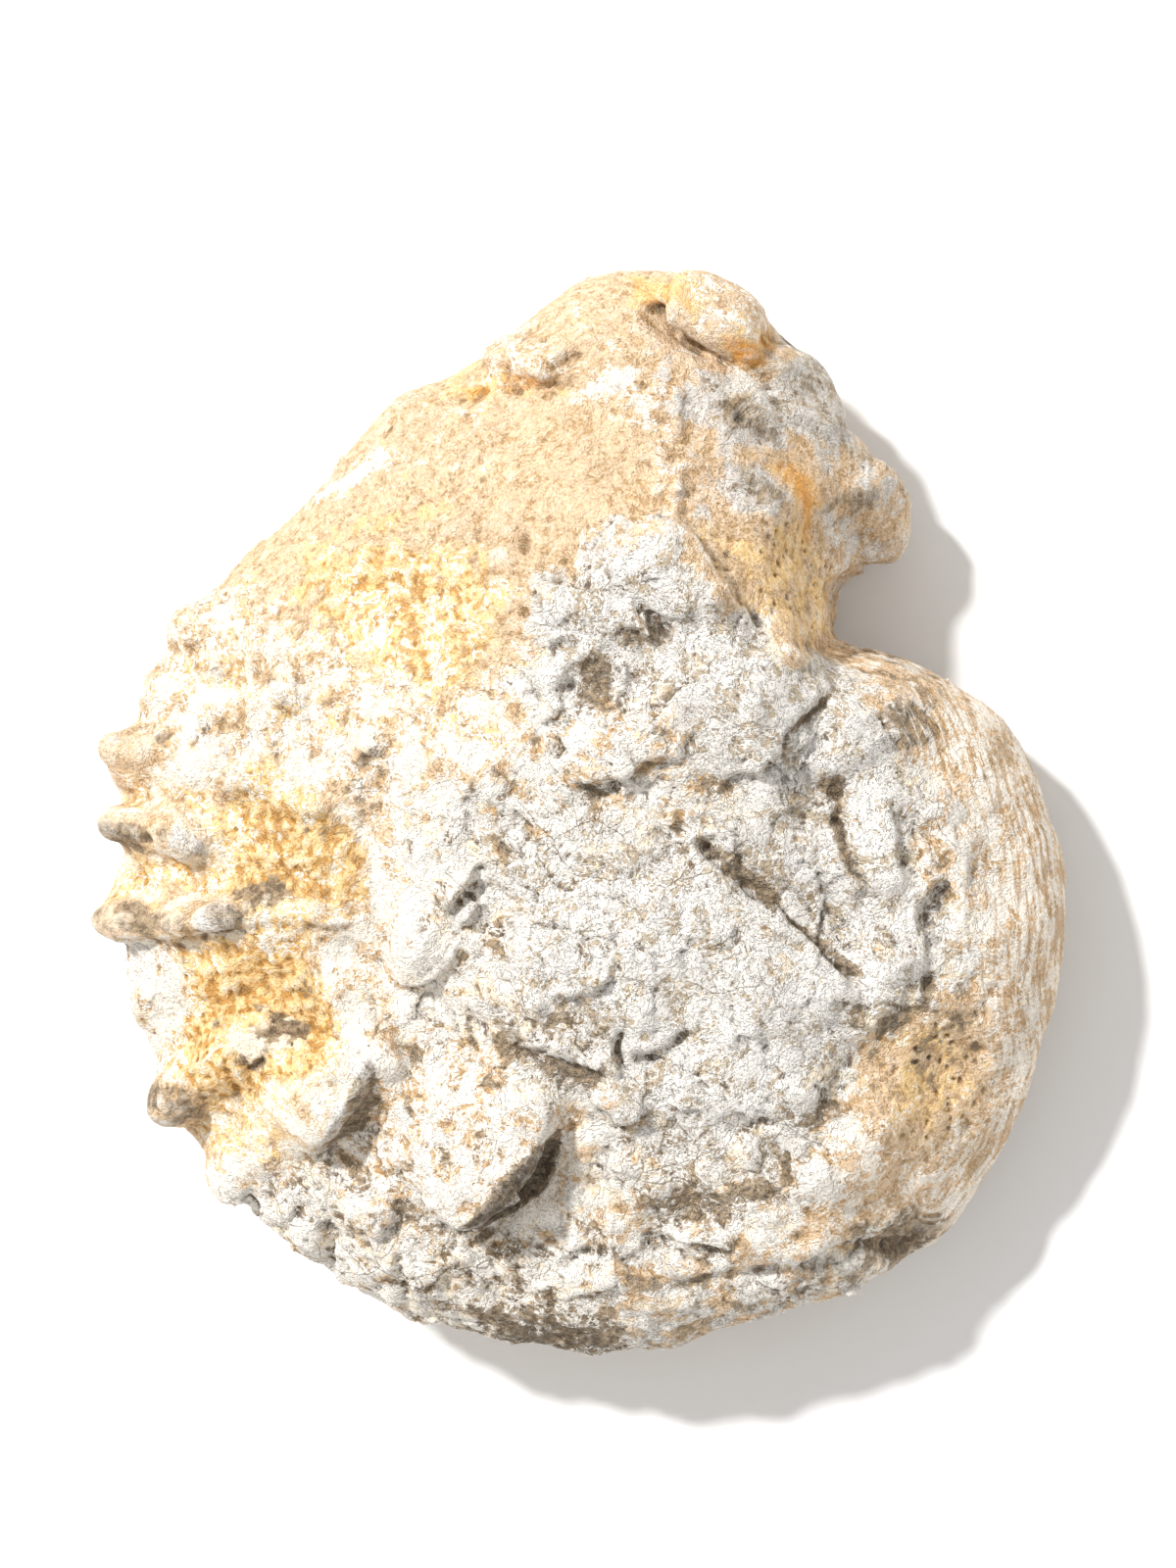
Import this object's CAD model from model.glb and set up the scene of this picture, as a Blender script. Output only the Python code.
"""The looks of a weathered ammonite fossil, lying on its flank on a pale studio table.

The stone's fine surface grows from its solid in five steps. The solid is smoothed and closed on a
fine grid. Its own blocks, ridges, steps, cracks and pits are worked into it by hand. Flakes and
crumbs are scattered over it and fused with it. Grain, broken facets and pores are raised all over
it. Last, its stains are laid on, as values at its points, which its one material reads.

Places on the upper face are frame points: the camera's own 1200 x 1600 grid, from its top left.
Sizes are millimetres unless a name says otherwise, and meshes are in metres.
"""

import logging
import math
from dataclasses import dataclass
from enum import Enum
from typing import Any

import bmesh
import bpy
import numpy as np
from mathutils import Matrix, Vector


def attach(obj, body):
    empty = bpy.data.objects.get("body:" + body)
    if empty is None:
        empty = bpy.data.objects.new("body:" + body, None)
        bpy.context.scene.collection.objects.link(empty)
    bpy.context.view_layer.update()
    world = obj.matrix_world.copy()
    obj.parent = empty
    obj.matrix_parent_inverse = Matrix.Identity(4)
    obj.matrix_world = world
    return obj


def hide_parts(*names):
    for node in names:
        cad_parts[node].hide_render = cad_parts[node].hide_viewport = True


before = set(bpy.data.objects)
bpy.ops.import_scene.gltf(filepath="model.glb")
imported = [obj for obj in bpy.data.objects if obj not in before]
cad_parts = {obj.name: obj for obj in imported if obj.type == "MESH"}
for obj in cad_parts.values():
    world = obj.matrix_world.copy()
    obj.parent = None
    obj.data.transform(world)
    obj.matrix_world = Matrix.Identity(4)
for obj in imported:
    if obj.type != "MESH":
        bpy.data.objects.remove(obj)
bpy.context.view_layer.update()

MM = 0.001  # one millimetre, in metres
FRAME = (1200, 1600)  # width and height of what the camera sees, in frame points

log = logging.getLogger("ammonite")

Point = tuple[float, float]
Path = tuple[float, ...]  # points one after another, each across and then down
Steps = tuple[tuple[float, float], ...]  # pairs of a size and a strength


# --- sums on node sockets -------------------------------------------------------------------------
class Value:
    """A node's output that can be used in sums: numbers go through Math, the rest through Vector Math."""

    def __init__(self, tree: "Tree", socket: Any) -> None:
        """Wraps a socket of a tree."""
        self.tree, self.socket = tree, socket

    def sibling(self, name: str) -> "Value":
        """Another output of the same node."""
        return Value(self.tree, self.socket.node.outputs[name])

    def part(self, axis: str) -> "Value":
        """One axis of a vector, X, Y or Z."""
        return self.tree.add("ShaderNodeSeparateXYZ", {}, {"Vector": self}, axis)

    def _sum(self, operation: str, other: Any, swapped: bool = False) -> "Value":
        """The result of an operation with another value, number or triple.

        Args:
            operation: the Math or Vector Math operation.
            other: the second value.
            swapped: whether the other value comes first.

        Returns:
            The result, as a vector where either of the two is one.
        """
        pair = (other, self) if swapped else (self, other)
        vectors = any(
            v.socket.type not in ("VALUE", "INT") if isinstance(v, Value) else isinstance(v, tuple)
            for v in pair
        )
        kind = "ShaderNodeVectorMath" if vectors else "ShaderNodeMath"
        if vectors:
            pair = tuple((v,) * 3 if isinstance(v, (int, float)) else v for v in pair)
        return self.tree.add(kind, {"operation": operation}, {0: pair[0], 1: pair[1]})

    def __add__(self, other: Any) -> "Value":
        """self + other."""
        return self._sum("ADD", other)

    def __radd__(self, other: Any) -> "Value":
        """other + self."""
        return self._sum("ADD", other, True)

    def __sub__(self, other: Any) -> "Value":
        """self - other."""
        return self._sum("SUBTRACT", other)

    def __rsub__(self, other: Any) -> "Value":
        """other - self."""
        return self._sum("SUBTRACT", other, True)

    def __mul__(self, other: Any) -> "Value":
        """self * other."""
        return self._sum("MULTIPLY", other)

    def __rmul__(self, other: Any) -> "Value":
        """other * self."""
        return self._sum("MULTIPLY", other, True)

    def __truediv__(self, other: Any) -> "Value":
        """self / other."""
        return self._sum("DIVIDE", other)

    def dot(self, other: Any) -> "Value":
        """The dot product with another vector."""
        settings = {"operation": "DOT_PRODUCT"}
        return self.tree.add("ShaderNodeVectorMath", settings, {0: self, 1: other}, "Value")

    def between(self, low: float, high: float) -> "Value":
        """A smooth pass from 0 to 1.

        Args:
            low: where it is still 0.
            high: where it has become 1. It may be the lesser of the two.

        Returns:
            The pass.
        """
        if low > high:
            return 1.0 - self.between(high, low)
        inputs = {"Value": self, "From Min": low, "From Max": high}
        return self.tree.add("ShaderNodeMapRange", {"interpolation_type": "SMOOTHSTEP"}, inputs)

    def floor(self) -> "Value":
        """The whole number below."""
        return self.tree.add("ShaderNodeMath", {"operation": "FLOOR"}, {0: self})


class Tree:
    """A node tree, of a material or of Geometry Nodes, that is filled by one method."""

    def __init__(self, nodes: Any) -> None:
        """Wraps a bpy node tree."""
        self.nodes = nodes

    def add(
        self, kind: str, settings: dict[str, Any], inputs: dict[Any, Any], output: Any = None
    ) -> Value:
        """Adds a node.

        Args:
            kind: the node's type.
            settings: its properties, which are set first.
            inputs: the values or links of its sockets, by place, identifier or name.
            output: the wanted output's place or name. The first one in use, if not given.

        Returns:
            The output, for sums and links.
        """
        node = self.nodes.nodes.new(kind)
        for name, setting in settings.items():
            setattr(node, name, setting)
        for key, value in inputs.items():
            self.feed(self.find(node.inputs, key), value)
        if output is None:
            output = next((k for k, s in enumerate(node.outputs) if s.enabled), 0)
        return Value(self, self.find(node.outputs, output) if len(node.outputs) else node)

    @staticmethod
    def find(sockets: Any, key: Any) -> Any:
        """Finds a socket.

        Args:
            sockets: a node's inputs or outputs.
            key: the socket's place, identifier or name.

        Returns:
            The socket, one in use where several have the name.
        """
        if isinstance(key, int):
            return sockets[key]
        named = [s for s in sockets if key in (s.identifier, s.name)]
        return next((s for s in named if s.enabled), named[0])

    def feed(self, socket: Any, value: Any) -> None:
        """Links a value to a socket, or sets the socket.

        Args:
            socket: the socket.
            value: a value to link, or a number, a triple or a text to set.
        """
        if isinstance(value, Value):
            self.nodes.links.new(value.socket, socket)
        elif isinstance(value, tuple) and len(socket.default_value) == 4:
            socket.default_value = (*value[:3], 1.0)
        else:
            socket.default_value = value

    def noise(
        self, at: Value, size: float, detail: float = 2.0, rough: float = 0.55, output: str = "Factor"
    ) -> Value:
        """Noise with lumps of about this size, from 0 to 1 round 0.5.

        Args:
            at: the place, in the same unit as the size.
            size: the lumps' size.
            detail: how many finer layers it has.
            rough: how strong they are.
            output: Factor for one number, Color for three.

        Returns:
            The noise.
        """
        inputs = {"Vector": at, "Scale": 1.0 / size, "Detail": detail, "Roughness": rough}
        output = {"Factor": 0, "Color": 1}[output]
        return self.add("ShaderNodeTexNoise", {"noise_dimensions": "3D"}, inputs, output)

    def cells(self, at: Value, size: float, kind: str = "F1", output: str = "Distance") -> Value:
        """Voronoi cells of about this size."""
        inputs = {"Vector": at, "Scale": 1.0 / size}
        return self.add("ShaderNodeTexVoronoi", {"feature": kind}, inputs, output)

    def kept(self, name: str, kind: str = "FLOAT") -> Value:
        """What the mesh keeps at its points.

        Args:
            name: the name that it is kept under.
            kind: FLOAT for numbers, FLOAT_VECTOR for triples.

        Returns:
            The numbers or triples.
        """
        if self.nodes.bl_idname == "GeometryNodeTree":
            settings = {"data_type": kind}
            return self.add("GeometryNodeInputNamedAttribute", settings, {"Name": name}, "Attribute")
        output = "Fac" if kind == "FLOAT" else "Vector"
        return self.add("ShaderNodeAttribute", {"attribute_name": name}, {}, output)

    def blend(self, share: Any, low: Any, high: Any) -> Value:
        """The colour that passes from low to high with the share."""
        inputs = {"Factor_Float": share, "A_Color": low, "B_Color": high}
        return self.add("ShaderNodeMix", {"data_type": "RGBA"}, inputs, "Result_Color")


# --- fields over the stone ------------------------------------------------------------------------
class Layer(Enum):
    """What is laid over the stone, each a number from 0 to 1 at every point."""

    OCHRE = "ochre"  # golden stain
    RUST = "rust"  # the deeper orange of iron
    TAN = "tan"  # warm sandy skin
    GREY = "grey"  # the hub's cool rock
    CHALK = "chalk"  # white crust
    BROWN = "brown"  # patina and mud
    BROKEN = "broken"  # angular facets
    CRUMBLY = "crumbly"  # crumbs and lumps
    PITTED = "pitted"  # pores
    CALM = "calm"  # worn smooth
    STREAKED = "streaked"  # growth lines along the rim


@dataclass(frozen=True)
class Region:
    """An area of the upper face with a ragged edge, laid over the regions before it."""

    edge: float  # width over which it fades
    layers: dict[Layer, float]
    outline: Path


O, R, T, G, C, B = Layer.OCHRE, Layer.RUST, Layer.TAN, Layer.GREY, Layer.CHALK, Layer.BROWN
BK, CR, PT, CM, ST = Layer.BROKEN, Layer.CRUMBLY, Layer.PITTED, Layer.CALM, Layer.STREAKED

# What shows where no region is laid: on the edges and the underside.
ALL_OVER = {
    O: 0.22, R: 0.0, T: 0.6, G: 0.3, C: 0.35, B: 0.3, BK: 0.45, CR: 0.25, PT: 0.2, CM: 0.25, ST: 0.0,
}

REGIONS = (
    # the whole upper face
    Region(16, {O: 0.1, T: 0.5, G: 0.4, C: 0.4, B: 0.25, BK: 0.6, CR: 0.3, PT: 0.1, CM: 0.15}, (80, 240,
        1120, 240, 1120, 1420, 80, 1420)),
    # warm upper-left flank
    Region(8, {O: 0.3, T: 0.9, G: 0.0, C: 0.18, B: 0.08, BK: 0.2, CR: 0.25, PT: 0.4, CM: 0.6, ST: 0.12},
        (190, 560, 300, 480, 400, 380, 480, 350, 530, 290, 650, 240, 700, 330, 690, 420, 700, 490,
        722, 560, 690, 540, 640, 548, 600, 575, 548, 600, 540, 660, 480, 700, 400, 700, 330, 650,
        230, 610)),
    Region(8, {T: 1.0, O: 0.1, C: 0.05, CM: 0.9, PT: 0.3, B: 0.05, ST: 0.05}, (520, 440, 600, 410,
        680, 430, 700, 500, 690, 530, 620, 560, 540, 590, 515, 520)),
    Region(3, {C: 0.75, CM: 0.2, T: 0.4}, (318, 500, 352, 482, 392, 458, 398, 466, 350, 496, 322, 512)),
    Region(3, {C: 0.7, CM: 0.2}, (586, 412, 600, 388, 622, 372, 650, 380, 640, 400, 612, 398)),
    Region(4, {O: 0.45, T: 0.9, C: 0.05}, (330, 545, 400, 520, 470, 480, 488, 490, 430, 548, 340, 575)),
    Region(6, {PT: 0.9, CM: 0.3, O: 0.15}, (540, 540, 600, 530, 640, 545, 620, 590, 560, 600)),
    Region(8, {O: 0.75, CR: 0.6, CM: 0.2, BK: 0.2, C: 0.25, T: 0.7}, (310, 580, 390, 555, 470, 575,
        510, 590, 505, 650, 475, 700, 420, 712, 380, 690, 335, 650)),
    Region(6, {O: 0.9, R: 0.25}, (355, 575, 390, 565, 420, 580, 400, 610, 360, 605)),
    Region(3.75, {O: 0.7, R: 0.5, B: 0.3, CM: 0.1}, (440, 412, 500, 376, 545, 388, 566, 402, 505, 412)),
    Region(3.75, {C: 0.3, CM: 0.2, CR: 0.3, BK: 0.6, G: 0.1, T: 0.85, O: 0.2}, (500, 345, 545, 338,
        580, 362, 560, 385, 520, 398, 498, 380)),
    Region(4, {CR: 0.9, T: 0.8, O: 0.2, C: 0.2, CM: 0.1, B: 0.1}, (612, 372, 662, 362, 706, 384, 712, 470,
        724, 556, 704, 560, 676, 500, 668, 440, 620, 420)),
    # chalky band that crosses the first ribs
    Region(8, {C: 0.42, O: 0.42, T: 0.6, G: 0.12, CM: 0.15, BK: 0.3, CR: 0.5, B: 0.12}, (188, 606,
        235, 596, 330, 645, 430, 700, 555, 745, 570, 800, 480, 800, 400, 790, 300, 760, 225, 735,
        165, 742, 130, 745, 150, 690, 172, 640)),
    Region(6, {T: 0.8, C: 0.35, G: 0.2, B: 0.15}, (150, 610, 205, 606, 215, 640, 190, 668, 158, 660)),
    # ribs: pale grooves by the edge, golden crumbs towards the hub
    Region(6, {C: 0.4, O: 0.5, T: 0.5, G: 0.0, CM: 0.5, BK: 0.1, CR: 0.15, B: 0.0}, (90, 780, 180, 792,
        250, 800, 262, 830, 215, 845, 90, 832)),
    Region(6, {C: 0.35, O: 0.6, T: 0.5, G: 0.0, CM: 0.5, BK: 0.1, CR: 0.15, B: 0.0}, (90, 862, 165, 862,
        225, 880, 262, 900, 220, 925, 90, 930)),
    Region(8, {O: 0.85, C: 0.15, G: 0.05, B: 0.15, CR: 0.75, BK: 0.2, CM: 0.1, PT: 0.5}, (222, 800,
        262, 792, 300, 800, 372, 828, 390, 862, 385, 938, 300, 945, 255, 930, 232, 895, 216, 850)),
    Region(8, {O: 0.98, C: 0.1, G: 0.0, B: 0.15, CR: 0.95, BK: 0.25, CM: 0.1, PT: 0.6}, (165, 962,
        230, 952, 320, 955, 352, 985, 350, 1050, 330, 1092, 262, 1120, 205, 1150, 158, 1128, 165, 1060)),
    Region(6, {C: 0.75, O: 0.3, CR: 0.4}, (112, 955, 170, 962, 185, 1010, 180, 1075, 160, 1110,
        118, 1080)),
    Region(6, {C: 0.35, O: 0.55, T: 0.5, G: 0.0, CM: 0.5, CR: 0.15, BK: 0.1, B: 0.05}, (150, 1165,
        205, 1135, 270, 1108, 335, 1092, 345, 1120, 335, 1160, 255, 1188, 180, 1205)),
    Region(3.75, {C: 0.55, O: 0.2, T: 0.55, G: 0.0, CM: 0.4, BK: 0.2, CR: 0.2, B: 0.1}, (372, 836,
        396, 826, 400, 890, 404, 940, 418, 985, 412, 1012, 392, 1010, 366, 1010, 325, 1000, 330, 955,
        382, 945)),
    Region(3.75, {C: 0.6, O: 0.2, T: 0.6, G: 0.0}, (341, 1020, 366, 1012, 368, 1060, 352, 1078)),
    # brown crowns of the knobs
    Region(1.8, {B: 0.4, C: 0.05, O: 0.3, T: 0.95, CM: 0.7, CR: 0, BK: 0}, (98, 752, 112, 740, 135, 742,
        165, 755, 165, 780, 135, 792, 108, 784)),
    Region(2.4, {B: 0.62, C: 0.0, O: 0.35, T: 0.9, CM: 0.8, CR: 0, BK: 0}, (94, 832, 115, 826, 150, 832,
        172, 843, 165, 862, 130, 866, 96, 860)),
    Region(1.8, {G: 0.7, B: 0.5, C: 0.05, O: 0.1, CM: 0.8, CR: 0, BK: 0}, (170, 848, 190, 845, 210, 862,
        212, 880, 192, 880, 175, 866)),
    Region(2.4, {B: 0.64, C: 0.0, O: 0.35, G: 0.1, T: 0.9, CM: 0.7, CR: 0, BK: 0}, (98, 930, 125, 922,
        192, 932, 194, 950, 150, 960, 102, 958)),
    Region(1.8, {G: 0.75, B: 0.72, C: 0.0, O: 0.05, CM: 0.8, CR: 0, BK: 0}, (194, 934, 212, 922, 236, 928,
        248, 942, 236, 954, 206, 954)),
    Region(3, {B: 0.6, O: 0.5, C: 0.05}, (245, 912, 300, 905, 320, 925, 300, 938, 248, 945)),
    Region(3, {B: 0.55, O: 0.4, C: 0.05, CR: 0.8}, (225, 1045, 270, 1025, 310, 1040, 290, 1075,
        240, 1100)),
    Region(2.4, {B: 0.58, G: 0.3, T: 0.9, C: 0.08, O: 0.2, CM: 0.5}, (138, 1122, 165, 1104, 200, 1112,
        208, 1140, 180, 1162, 145, 1155)),
    Region(3, {B: 0.5, G: 0.4, C: 0.1, O: 0.2}, (125, 1015, 150, 1022, 150, 1052, 128, 1050)),
    Region(3, {B: 0.4, G: 0.4, C: 0.2, O: 0.25}, (300, 1120, 340, 1085, 375, 1075, 384, 1095, 350, 1130,
        325, 1175)),
    Region(2.1, {G: 0.7, B: 0.3, C: 0.1}, (216, 682, 234, 678, 236, 696, 222, 702)),
    Region(2.1, {G: 0.7, B: 0.3, C: 0.15}, (276, 706, 306, 706, 312, 730, 284, 732)),
    Region(2.1, {B: 0.7, G: 0.3, C: 0.1, O: 0.2}, (356, 752, 386, 748, 396, 780, 370, 778)),
    Region(2.4, {G: 0.7, B: 0.2, C: 0.3}, (222, 790, 262, 792, 275, 812, 232, 812)),
    Region(2.4, {G: 0.5, B: 0.5, C: 0.05}, (308, 812, 332, 815, 338, 835, 315, 838)),
    # the hub: light grey rock with tan and brown between
    Region(8, {G: 0.88, C: 0.48, T: 0.3, O: 0.05, B: 0.16, BK: 0.9, CR: 0.05, CM: 0.0, PT: 0.05},
        (548, 600, 610, 566, 690, 535, 735, 590, 790, 655, 850, 672, 925, 765, 1000, 880, 1000, 960,
        930, 1010, 885, 1060, 858, 1110, 800, 1190, 700, 1215, 630, 1180, 610, 1110, 520, 1030, 520, 960,
        470, 900, 470, 830, 552, 760, 545, 690)),
    Region(8, {G: 0.5, T: 0.6, C: 0.4, B: 0.35, O: 0.12, CR: 0.35}, (560, 735, 640, 700, 720, 715,
        770, 760, 770, 850, 690, 862, 560, 866, 480, 850, 500, 790)),
    Region(6, {T: 0.75, O: 0.25, B: 0.35, C: 0.3}, (620, 715, 690, 705, 715, 760, 640, 790, 600, 760)),
    Region(8, {G: 0.45, T: 0.45, C: 0.55, B: 0.4, BK: 0.8}, (395, 850, 480, 860, 520, 960, 500, 1030,
        560, 1085, 470, 1080, 415, 1035, 410, 950)),
    Region(6, {G: 0.7, B: 0.5, C: 0.2, T: 0.4}, (480, 1015, 560, 1010, 636, 1060, 638, 1105, 560, 1115,
        500, 1080)),
    Region(6, {G: 0.85, C: 0.6, T: 0.15, B: 0.1}, (640, 960, 745, 930, 850, 985, 920, 1010, 850, 1060,
        760, 1075, 660, 1050, 620, 1010)),
    Region(6, {G: 0.85, C: 0.42, T: 0.25, B: 0.1, BK: 0.4, CR: 0.0}, (690, 660, 745, 640, 800, 665,
        850, 690, 800, 740, 745, 790, 715, 740)),
    Region(3, {G: 0.9, C: 0.5, T: 0.05, B: 0.0, CR: 0.0, BK: 0.3}, (857, 793, 899, 791, 914, 830,
        930, 868, 930, 906, 900, 925, 872, 906, 858, 850)),
    Region(1.5, {G: 1.0, C: 0.0, B: 0.66, CM: 0.4}, (830, 800, 846, 790, 858, 796, 855, 830, 862, 868,
        878, 904, 864, 892, 846, 860, 836, 830)),
    Region(1.2, {G: 0.9, C: 0.0, B: 0.74}, (711, 856, 726, 862, 748, 874, 764, 892, 786, 904, 798, 924,
        790, 934, 768, 914, 745, 896, 724, 874)),
    Region(1.0, {G: 0.9, C: 0.0, B: 0.82}, (800, 936, 822, 944, 846, 964, 870, 982, 886, 996, 880, 1001,
        858, 987, 832, 964)),
    Region(1.0, {G: 0.9, C: 0.0, B: 0.85}, (848, 704, 846, 712, 824, 732, 808, 750, 804, 762, 797, 762,
        803, 744, 820, 726)),
    Region(6, {G: 0.8, C: 0.2, B: 0.6}, (880, 1035, 950, 1000, 955, 1020, 900, 1052, 850, 1110,
        835, 1105)),
    Region(2, {G: 0.9, C: 0.1, B: 0.5}, (632, 630, 660, 622, 684, 644, 668, 656, 636, 652)),
    Region(1.5, {G: 0.8, C: 0.05, T: 0.8, B: 0.66}, (590, 662, 606, 654, 629, 668, 627, 700, 608, 725,
        588, 720)),
    Region(6, {T: 0.8, O: 0.1, B: 0.35, C: 0.35, G: 0.3}, (915, 820, 990, 822, 995, 900, 940, 910)),
    # below the hub
    Region(8, {C: 0.5, T: 0.8, G: 0.4, B: 0.32, CR: 0.5, BK: 0.5}, (385, 1085, 470, 1080, 560, 1100,
        572, 1150, 500, 1250, 420, 1260, 335, 1190, 380, 1150)),
    Region(8, {C: 0.42, T: 0.5, G: 0.5, B: 0.42, CR: 0.7, BK: 0.9}, (180, 1190, 335, 1185, 480, 1262,
        620, 1240, 640, 1400, 420, 1400, 150, 1250)),
    Region(8, {B: 0.5, T: 0.6, G: 0.6, C: 0.32, O: 0.1, BK: 0.8}, (645, 1165, 715, 1175, 790, 1165,
        830, 1120, 860, 1130, 800, 1215, 740, 1285, 655, 1280)),
    Region(6, {C: 0.8, G: 0.7, B: 0.0}, (812, 1182, 850, 1180, 856, 1220, 815, 1222)),
    Region(8, {T: 0.95, O: 0.25, C: 0.35, G: 0.05, B: 0.12, CM: 0.5, BK: 0.2}, (850, 1180, 930, 1150,
        990, 1200, 960, 1245, 870, 1262, 820, 1262, 840, 1220)),
    Region(8, {B: 0.34, G: 0.6, T: 0.6, C: 0.3, O: 0.06, BK: 0.6, CR: 0.5, CM: 0.4}, (630, 1310,
        700, 1308, 780, 1288, 870, 1268, 960, 1252, 960, 1300, 800, 1380, 630, 1420)),
    Region(6, {B: 0.9, C: 0.1, O: 0.1, G: 0.3}, (900, 1255, 970, 1235, 990, 1260, 930, 1300, 890, 1290)),
    Region(6, {B: 0.9, C: 0.15, G: 0.4}, (490, 1345, 545, 1338, 640, 1342, 650, 1400, 500, 1400)),
    # the sandy hollow and the smooth rim on the right
    Region(8, {T: 0.95, C: 0.4, G: 0.05, O: 0.1, B: 0.2, CM: 0.3, ST: 1.0, BK: 0.1, CR: 0.1, PT: 0.1},
        (925, 690, 1030, 715, 1110, 860, 1120, 930, 1100, 1080, 1060, 1180, 990, 1260, 950, 1235,
        1000, 1120, 1015, 1020, 1010, 900, 985, 810, 925, 745)),
    Region(8, {O: 0.5, R: 0.1, B: 0.35, T: 0.9, C: 0.05, G: 0.05, PT: 1.0, CM: 0.2, BK: 0.0, ST: 0.0},
        (900, 1050, 945, 1022, 1000, 1030, 1008, 1090, 985, 1150, 940, 1175, 905, 1130, 885, 1085)),
    Region(6, {B: 0.6, C: 0.05, T: 0.7, PT: 0.8}, (955, 1015, 1000, 1015, 1000, 1055, 960, 1050)),
    Region(3.75, {B: 0.75, G: 0.6, C: 0.05}, (912, 722, 945, 714, 965, 740, 950, 756, 918, 746)),
    Region(6, {B: 0.5, G: 0.3, T: 0.8, C: 0.1}, (855, 655, 905, 668, 950, 685, 955, 705, 905, 730,
        865, 690)),
    Region(6, {C: 0.5, G: 0.4, T: 0.5}, (985, 760, 1000, 765, 1010, 850, 1000, 960, 985, 960, 990, 860)),
    # the broken mouth
    Region(6, {T: 0.8, O: 0.12, G: 0.45, C: 0.15, B: 0.4, CM: 0.95, BK: 0.1, CR: 0.05, PT: 0.15, ST: 0.3},
        (655, 305, 740, 375, 790, 340, 880, 400, 890, 455, 950, 510, 920, 600, 865, 600, 862, 650,
        800, 668, 770, 625, 728, 570, 700, 500, 690, 430, 650, 380)),
    Region(6, {G: 0.9, C: 0.12, B: 0.45, T: 0.2}, (780, 360, 830, 365, 870, 410, 862, 445, 810, 430)),
    Region(3.75, {G: 0.9, C: 0.1, B: 0.5, T: 0.2}, (725, 385, 760, 395, 800, 420, 800, 455, 755, 445)),
    Region(3.75, {G: 1.0, C: 0.1, B: 0.55, T: 0.1}, (755, 484, 785, 486, 800, 515, 780, 524, 758, 512)),
    Region(3.75, {C: 0.9, G: 0.3, B: 0.0}, (748, 372, 772, 378, 778, 410, 752, 402)),
    Region(3, {B: 0.9, G: 0.7, C: 0.0}, (751, 412, 770, 412, 768, 436, 752, 434)),
    Region(5, {O: 0.85, R: 0.75, C: 0.0, G: 0.0, B: 0.05}, (808, 482, 828, 476, 838, 500, 832, 545,
        822, 562, 808, 522)),
    Region(6, {O: 0.55, R: 0.1, B: 0.3, T: 0.8, C: 0.05, G: 0.05, PT: 0.85, CM: 0.3}, (712, 545, 790, 530,
        850, 570, 862, 640, 855, 668, 800, 672, 765, 625, 730, 575)),
    Region(5, {B: 0.62, G: 0.5, T: 0.6, C: 0.08}, (850, 478, 885, 472, 900, 490, 888, 522, 862, 520)),
    Region(4, {O: 0.4, T: 0.9, C: 0.1, B: 0.1}, (820, 468, 850, 462, 856, 480, 840, 492, 822, 484)),
    Region(6, {C: 0.4, G: 0.5, B: 0.2}, (850, 545, 905, 555, 900, 590, 862, 592, 845, 640, 838, 580)),
    Region(6, {T: 0.9, C: 0.25, G: 0.1, O: 0.35, CM: 0.5, CR: 0.3, BK: 0.1}, (640, 262, 700, 268,
        760, 285, 792, 330, 788, 372, 750, 372, 705, 345, 672, 312)),
    Region(3.75, {O: 0.9, R: 0.85, C: 0.05}, (738, 335, 780, 338, 784, 368, 752, 368, 736, 352)),
    Region(3.75, {O: 0.8, R: 0.5, C: 0.1}, (632, 282, 660, 285, 700, 290, 695, 318, 650, 312)),
    Region(3.75, {O: 0.4, R: 0.1, T: 0.9, G: 0.3}, (655, 320, 680, 335, 690, 365, 660, 372, 640, 345)),
    # the steep dark ends of the two thick ribs
    Region(1.0, {B: 0.62, G: 0.9, C: 0.05, O: 0.0, T: 0.3, CR: 0.0, CM: 0.5}, (321, 1184, 330, 1168,
        341, 1148, 353, 1125, 362, 1102, 374, 1080, 384, 1092, 385, 1112, 377, 1138, 366, 1157, 349, 1164,
        336, 1176)),
    Region(1.0, {B: 0.98, G: 0.9, C: 0.0, T: 0.2, O: 0.0, CR: 0.0, CM: 0.5}, (570, 1152, 568, 1172,
        565, 1195, 547, 1224, 524, 1236, 508, 1243, 492, 1257, 466, 1258, 484, 1242, 508, 1207, 533, 1181,
        552, 1166)),
)


class Rumple:
    """Smooth random values through space, the same on every run."""

    CELLS = 32

    def __init__(self, seed: int) -> None:
        """Draws the values at the corners of a repeating grid."""
        self.corners = np.random.default_rng(seed).uniform(-1.0, 1.0, (self.CELLS,) * 3)

    def at(self, places: np.ndarray, size: float) -> np.ndarray:
        """Reads the values.

        Args:
            places: where, one row each.
            size: the size of the lumps, in the unit of the places.

        Returns:
            A value from -1 to 1 for each place.
        """
        scaled = places / size
        low = np.floor(scaled).astype(int)
        t = scaled - low
        t = t * t * (3.0 - 2.0 * t)
        found = np.zeros(len(places))
        for step in np.ndindex(2, 2, 2):
            share = np.where(step, t, 1 - t).prod(axis=1)
            corner = (low + step) % self.CELLS
            found += share * self.corners[tuple(corner.T)]
        return found


def smooth(t: np.ndarray) -> np.ndarray:
    """0 to 1 with level ends."""
    t = np.clip(t, 0.0, 1.0)
    return t * t * (3.0 - 2.0 * t)


def points_of(path: Path) -> np.ndarray:
    """The points of a path, one row each."""
    return np.array(path, float).reshape(-1, 2)


def round_about(places: np.ndarray, path: Path, room: float) -> np.ndarray:
    """Which places lie in a path's own box, or at most this far outside it."""
    points = points_of(path)
    return np.all((places > points.min(0) - room) & (places < points.max(0) + room), axis=1)


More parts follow.
